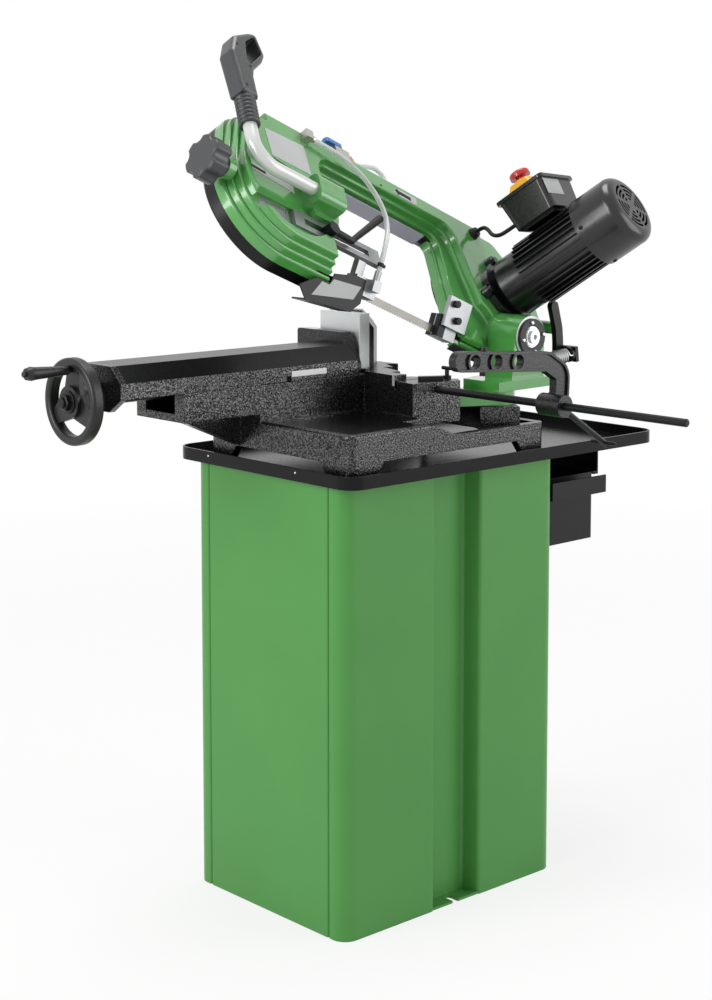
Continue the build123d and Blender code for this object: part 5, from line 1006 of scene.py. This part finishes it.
@dataclass
class Guides:
    """Blade guides, the sliding guide bar with its clamp, and the guard.

    Screws and the block are placed by (u, w) points beside the blade. The ruler has its first tick, its last
    tick and its step along u, and the ticks have a short and a long length.
    """

    floor_n: float = 31.0
    floor_strip: Plate = Plate("guideway_floor", "bow", GROUND_STEEL, 0.2, box(494, -36, 556, -64))
    ruler: Point = (500.0, 552.0, 4.0)
    ruler_v: float = 63.0
    ticks: Pair = (5.0, 8.0)
    tick_half: float = 0.5
    tick_depth: float = 0.05
    tick_edge: float = 0.01
    guard_x: float = 14.5
    guard_plate: Plate = Plate("guard_plate_blank", "guide", PLATE_BLANK, 0.4, (
        (390, 1), (332, -6.5), (341, 17), (425, 38), (412, 12), (396, 12),
    ))
    plate_x: float = 20.0
    plate_screws: Pairs = ((131, 49), (119, 24))
    block_x: float = 12.0
    block_u: Pair = (131.0, 146.0)
    block_w: Pair = (-10.0, 27.0)
    blade_gap: float = 2.0
    cheek: float = 1.2

    def build(self) -> None:
        """Dresses the guides and adds the ruler, the bare plate and the screws."""
        dress(GROUND_STEEL, "guide_arm", "front_guide", "rear_guide")
        dress(SATIN_BLACK, "blade_guard")
        dress(BLACK_OXIDE, "guide_clamp_lever")
        self.floor_strip.add(BOW.face(0, 0, self.floor_n))
        self._ruler()
        self.guard_plate.add(BOW.side(self.guard_x))
        face = BOW.side(self.plate_x)
        places = [face @ Matrix.Translation((u * MM, -w * MM, 0)) for u, w in self.plate_screws]
        add_screws("rear_guide_screws", Screw(8.0, Head.SOCKET, BLACK_OXIDE), places, "bow")
        self._block_cover()

    def _ruler(self) -> None:
        """Adds the ruler's ticks along the guideway, every fifth one long."""
        first, last, step = self.ruler
        short, tall = self.ticks
        half = self.tick_half
        mesh = bmesh.new()
        for k in range(int((last - first) / step) + 1):
            reach = (short if k % 5 else tall) / 2
            place = BOW.face(first + k * step, self.ruler_v - reach, self.floor_n + self.floor_strip.depth)
            add_slab(mesh, box(-half, -reach, half, reach), self.tick_depth, place, self.tick_edge)
        add_piece("guideway_ticks", mesh, PRINT_AND_HOLE_SHADE_BLACK, "bow")

    def _block_cover(self) -> None:
        """Adds the black cheek plates on the rear guide's block."""
        (u0, u1), (w0, w1) = self.block_u, self.block_w
        x, gap = self.block_x, self.blade_gap
        mesh = bmesh.new()
        add_slab(mesh, box(u0, -w1, u1, -w0), self.cheek, BOW.side(x))
        end = frame_at(BOW.cut(u1, 0, 0), BOW.u, X)
        for side in (-1, 1):
            add_slab(mesh, box(side * gap, w0, side * x, w1)[::side], self.cheek, end)
        add_piece("rear_guide_cheeks", mesh, BLACK_OXIDE, "bow")


class Stiffness(Enum):
    """How far a hose or cable gives."""

    MEDIUM = "medium"
    STIFF = "stiff"


@dataclass(frozen=True)
class Cord:
    """A hose or cable in place of a CAD node. Its route is (u, v, n) points of the bow."""

    name: str
    node: str
    diameter: float
    length: float
    finish: Finish
    stiffness: Stiffness
    route: tuple[Point, ...]

    def line(self, name: str, diameter: float) -> bpy.types.Curve:
        """Smooth line with the route's points as its control points."""
        return nurbs_line(name, [BOW.spot(*p) for p in self.route], diameter, segments=16, roundness=6)

    def declare(self, piece: bpy.types.Object, path: list[Point] | None = None) -> None:
        """Hides the CAD node that this cord stands in for.

        Args:
            piece: Curve or mesh tube. Not used.
            path: Points in metres that a mesh tube follows. Not used.
        """
        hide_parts(self.node)
        tuple(BOW.spot(*self.route[0]))

    def lay_on_bow(self) -> None:
        """Lays the cord where both its ends are on the bow."""
        piece = add_object(self.name, self.line(self.name, self.diameter))
        piece.data.materials.append(self.finish.material())
        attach(piece, "bow")
        self.declare(piece)
        LOG.info("line %s, %s", self.name, self.finish.name)


@dataclass
class Lines:
    """Coolant hoses and the motor cable with their fittings.

    The coolant hose's bend is given by two (u, v, n) points, which nothing uses. Nuts and the clamp's ring
    are turned profiles. The clamp's lug has a width, a height and a depth.
    """

    hose: Cord = Cord("clear_coolant_hose", "coolant_hose", 8.0, 298.5, VINYL, Stiffness.MEDIUM, (
        (425, 225, 57), (392, 224, 58), (356, 215, 60), (324, 195, 62),
        (301, 165, 63), (291, 131, 64), (294, 98, 64), (304, 69, 62),
        (311, 41.7, 55.23), (311, 20.51, 39.26),
    ))
    loop: Cord = Cord("clear_loop_hose", "loop_hose", 8.0, 93.6, VINYL, Stiffness.MEDIUM, (
        (306, 249, 36), (288, 253, 36), (269, 262, 36), (252, 268, 36),
        (238, 266, 36), (230, 257, 36), (229, 246, 36),
    ))
    cable: Cord = Cord("motor_lead", "motor_cable", 7.0, 112.9, RUBBER, Stiffness.STIFF, (
        (36, 172, 143), (36, 172, 125), (40, 170, 107), (31, 188, 88),
        (25, 209, 80), (25, 221, 72), (25, 221, 58),
    ))
    bend_from: Point = (301.0, 165.0, 63.0)
    bend_to: Point = (310.0, 32.0, 47.0)
    valve: Point = (340.0, 249.0, 36.0)
    outlet: float = 18.0
    inlet: float = 20.0
    nut: Pairs = ((8.2, 0), (9.2, 0.8), (9.2, 6.5), (8.2, 7.3))
    nut_neck: Pairs = ((7.4, 7), (7.4, 10.5), (6.6, 11.2))
    clamp: Point = (311.0, 48.0, 19.0)
    clamp_ring: Pairs = box(4.1, 0, 5.3, 6)
    lug_spot: Pair = (5.0, 3.0)
    lug: Point = (5.0, 5.5, 4.0)
    lug_corner: float = 1.0

    def build(self) -> None:
        """Dresses the fittings and lays the hoses and the cable."""
        dress(NICKEL, "coolant_valve", "hose_fitting")
        dress(BLUE_ABS, "valve_lever")
        dress(RUBBER, "line_grommets")
        self._nuts()
        self._hose_clamp()
        self._coolant_hose()
        self.loop.lay_on_bow()
        self.cable.lay_on_bow()

    def _nuts(self) -> None:
        """Adds the nuts on the valve's ends."""
        u, v, n = self.valve
        ends = (
            ("compression_nut", u - self.outlet, -1, COPPER), ("inlet_nut", u + self.inlet, 1, BLACK_OXIDE),
        )
        for name, start, way, finish in ends:
            mesh = bmesh.new()
            place = frame_at(BOW.spot(start, v, n), BOW.u * way, BOW.v)
            add_lathe(mesh, self.nut, place, sides=6)
            add_lathe(mesh, self.nut_neck, place)
            add_piece(name, mesh, finish, "bow")

    def _hose_clamp(self) -> None:
        """Adds the clamp on the coolant hose's lower end."""
        foot = BOW.cut(*self.clamp)
        mesh = bmesh.new()
        add_lathe(mesh, self.clamp_ring, frame_at(foot, BOW.w, X), hollow=True)
        out, up = self.lug_spot
        spot = foot - BOW.u * out * MM + BOW.w * up * MM
        add_slab(mesh, self._lug_outline(), self.lug[2], frame_at(spot, -BOW.u, BOW.w))
        add_piece("hose_clamp", mesh, BLACK_OXIDE, "guide")

    def _lug_outline(self) -> list[Pair]:
        """Outline of the clamp's lug, with round corners.

        Returns:
            Corner points, counter-clockwise.
        """
        radius = self.lug_corner
        x, y = self.lug[0] / 2 - radius, self.lug[1] / 2 - radius
        points = []
        for quarter, (a, b) in enumerate(box(x, y, -x, -y)):
            for k in range(CORNER_STEPS + 1):
                angle = pi / 2 * (quarter + k / CORNER_STEPS)
                points.append((a + radius * cos(angle), b + radius * sin(angle)))
        return points

    def _coolant_hose(self) -> None:
        """Lays the hose from the beam to the sliding front guide."""
        hose = self.hose
        traced = line_mesh(hose.line("hose_line", 0.0))
        path = [tuple(vertex.co) for vertex in traced.vertices]
        bpy.data.meshes.remove(traced)
        piece = curve_to_piece(hose.name, hose.line("hose_tube", hose.diameter), hose.finish)
        hose.declare(piece, path)
        start, end = BOW.spot(*self.bend_from), BOW.spot(*self.bend_to)
        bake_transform(piece)


@dataclass(frozen=True)
class Softbox:
    """A square soft lamp. Places and its side are in metres, its power is in watts."""

    name: str
    spot: Point
    target: Point
    side: float
    power: float

    def light(self) -> None:
        """Adds the lamp and turns it to its target."""
        data = bpy.data.lights.new(self.name, "AREA")
        data.shape = "SQUARE"
        data.size = self.side
        data.energy = self.power
        lamp = add_object(self.name, data)
        lamp.location = self.spot
        lamp.rotation_euler = (Vector(self.target) - Vector(self.spot)).to_track_quat("-Z", "Y").to_euler()


@dataclass
class Studio:
    """Pale floor, soft lights and the camera at the photograph's angle.

    The floor's half side, and the range from the middle over which it goes to white, are in metres.
    """

    camera_spot: Point = (2253.28, -2103.30, 1211.50)
    azimuth: float = 47.547
    tilt: float = 5.661
    lens: float = 68.96
    sensor: float = 36.0
    shift_x: float = -0.002
    shift_y: float = -0.17
    floor_half: float = 14.0
    floor_colour: str = "#F4F4F3"
    fade_range: Pair = (0.8, 3.5)
    fade: Pair = (0.78, 1.0)
    room_light: float = 0.40
    lamps: tuple[Softbox, ...] = (
        Softbox("key_softbox", (-0.3, -3.3, 1.9), (0.0, 0.0, 0.7), 2.0, 84.0),
        Softbox("side_softbox", (2.8, 2.0, 1.7), (0.0, 0.0, 0.8), 2.6, 60.0),
        Softbox("top_softbox", (-0.4, 0.4, 3.6), (0.0, 0.0, 0.8), 1.4, 40.0),
    )

    def build(self) -> None:
        """Sets the stage."""
        self._floor()
        self._world()
        for lamp in self.lamps:
            lamp.light()
        self._camera()
        bpy.context.scene.view_settings.view_transform = "Standard"

    def _floor(self) -> None:
        """Adds a plain floor that stays nearly white and keeps the shadow."""
        far = self.floor_half
        data = bpy.data.meshes.new("floor")
        data.from_pydata([(x, y, 0.0) for x, y in box(-far, -far, far, far)], [], [(0, 1, 2, 3)])
        floor = add_object("floor", data)
        material = bpy.data.materials.new("pale_floor_paint")
        material.use_nodes = True
        tree = material.node_tree
        tree.nodes.clear()
        shade = add_node(tree, "ShaderNodeBsdfDiffuse", {"Color": linear(self.floor_colour)}).outputs[0]
        glow = add_node(tree, "ShaderNodeEmission", {"Color": WHITE, "Strength": 1.0}).outputs[0]
        place = add_node(tree, "ShaderNodeTexCoord").outputs["Object"]
        far = add_node(tree, "ShaderNodeVectorMath", {0: place}, operation="LENGTH").outputs["Value"]
        ring = dict(zip(RANGE, (far, *self.fade_range, *self.fade)))
        fade = add_node(tree, "ShaderNodeMapRange", ring).outputs[0]
        shown = {0: self._seen(tree), 1: fade}
        seen = add_node(tree, "ShaderNodeMath", shown, operation="MULTIPLY").outputs[0]
        both = add_node(tree, "ShaderNodeMixShader", {0: seen, 1: shade, 2: glow})
        add_node(tree, "ShaderNodeOutputMaterial", {"Surface": both.outputs[0]})
        data.materials.append(material)

    def _world(self) -> None:
        """Lights the room evenly and shows white behind the object."""
        world = bpy.data.worlds.new("studio")
        bpy.context.scene.world = world
        world.use_nodes = True
        tree = world.node_tree
        tree.nodes.clear()
        room, white = (
            add_node(tree, "ShaderNodeBackground", {"Color": WHITE, "Strength": strength}).outputs[0]
            for strength in (self.room_light, 1.0)
        )
        mix = add_node(tree, "ShaderNodeMixShader", {0: self._seen(tree), 1: room, 2: white})
        add_node(tree, "ShaderNodeOutputWorld", {"Surface": mix.outputs[0]})

    @staticmethod
    def _seen(tree: Tree) -> Socket:
        """Tells rays that show the background from rays that light the object.

        Args:
            tree: Node tree of the floor or the world.

        Returns:
            Socket with 1 for camera, glossy and transmission rays, else 0.
        """
        ray = add_node(tree, "ShaderNodeLightPath").outputs
        seen = ray["Is Camera Ray"]
        for kind in ("Is Glossy Ray", "Is Transmission Ray"):
            seen = add_node(tree, "ShaderNodeMath", {0: seen, 1: ray[kind]}, operation="MAXIMUM").outputs[0]
        return seen

    def _camera(self) -> None:
        """Adds the camera."""
        data = bpy.data.cameras.new("photo_camera")
        data.lens = self.lens
        data.sensor_width = self.sensor
        data.shift_x = self.shift_x
        data.shift_y = self.shift_y
        camera = add_object("photo_camera", data)
        camera.location = Vector(self.camera_spot) * MM
        camera.rotation_euler = (radians(90 - self.tilt), 0.0, radians(self.azimuth))
        bpy.context.scene.camera = camera


def main() -> None:
    """Builds the stage and every sub-assembly."""
    logging.basicConfig(level=logging.INFO, format="%(name)s %(message)s")
    parts = (
        Studio(), Lines(), Stand(), TrayAndTank(), BaseAndVise(), LengthStop(), Swivel(), Bow(), Motor(),
        Handle(), Guides(),
    )
    for part in parts:
        LOG.info("building %s", type(part).__name__)
        part.build()


if __name__ == "__main__":
    main()
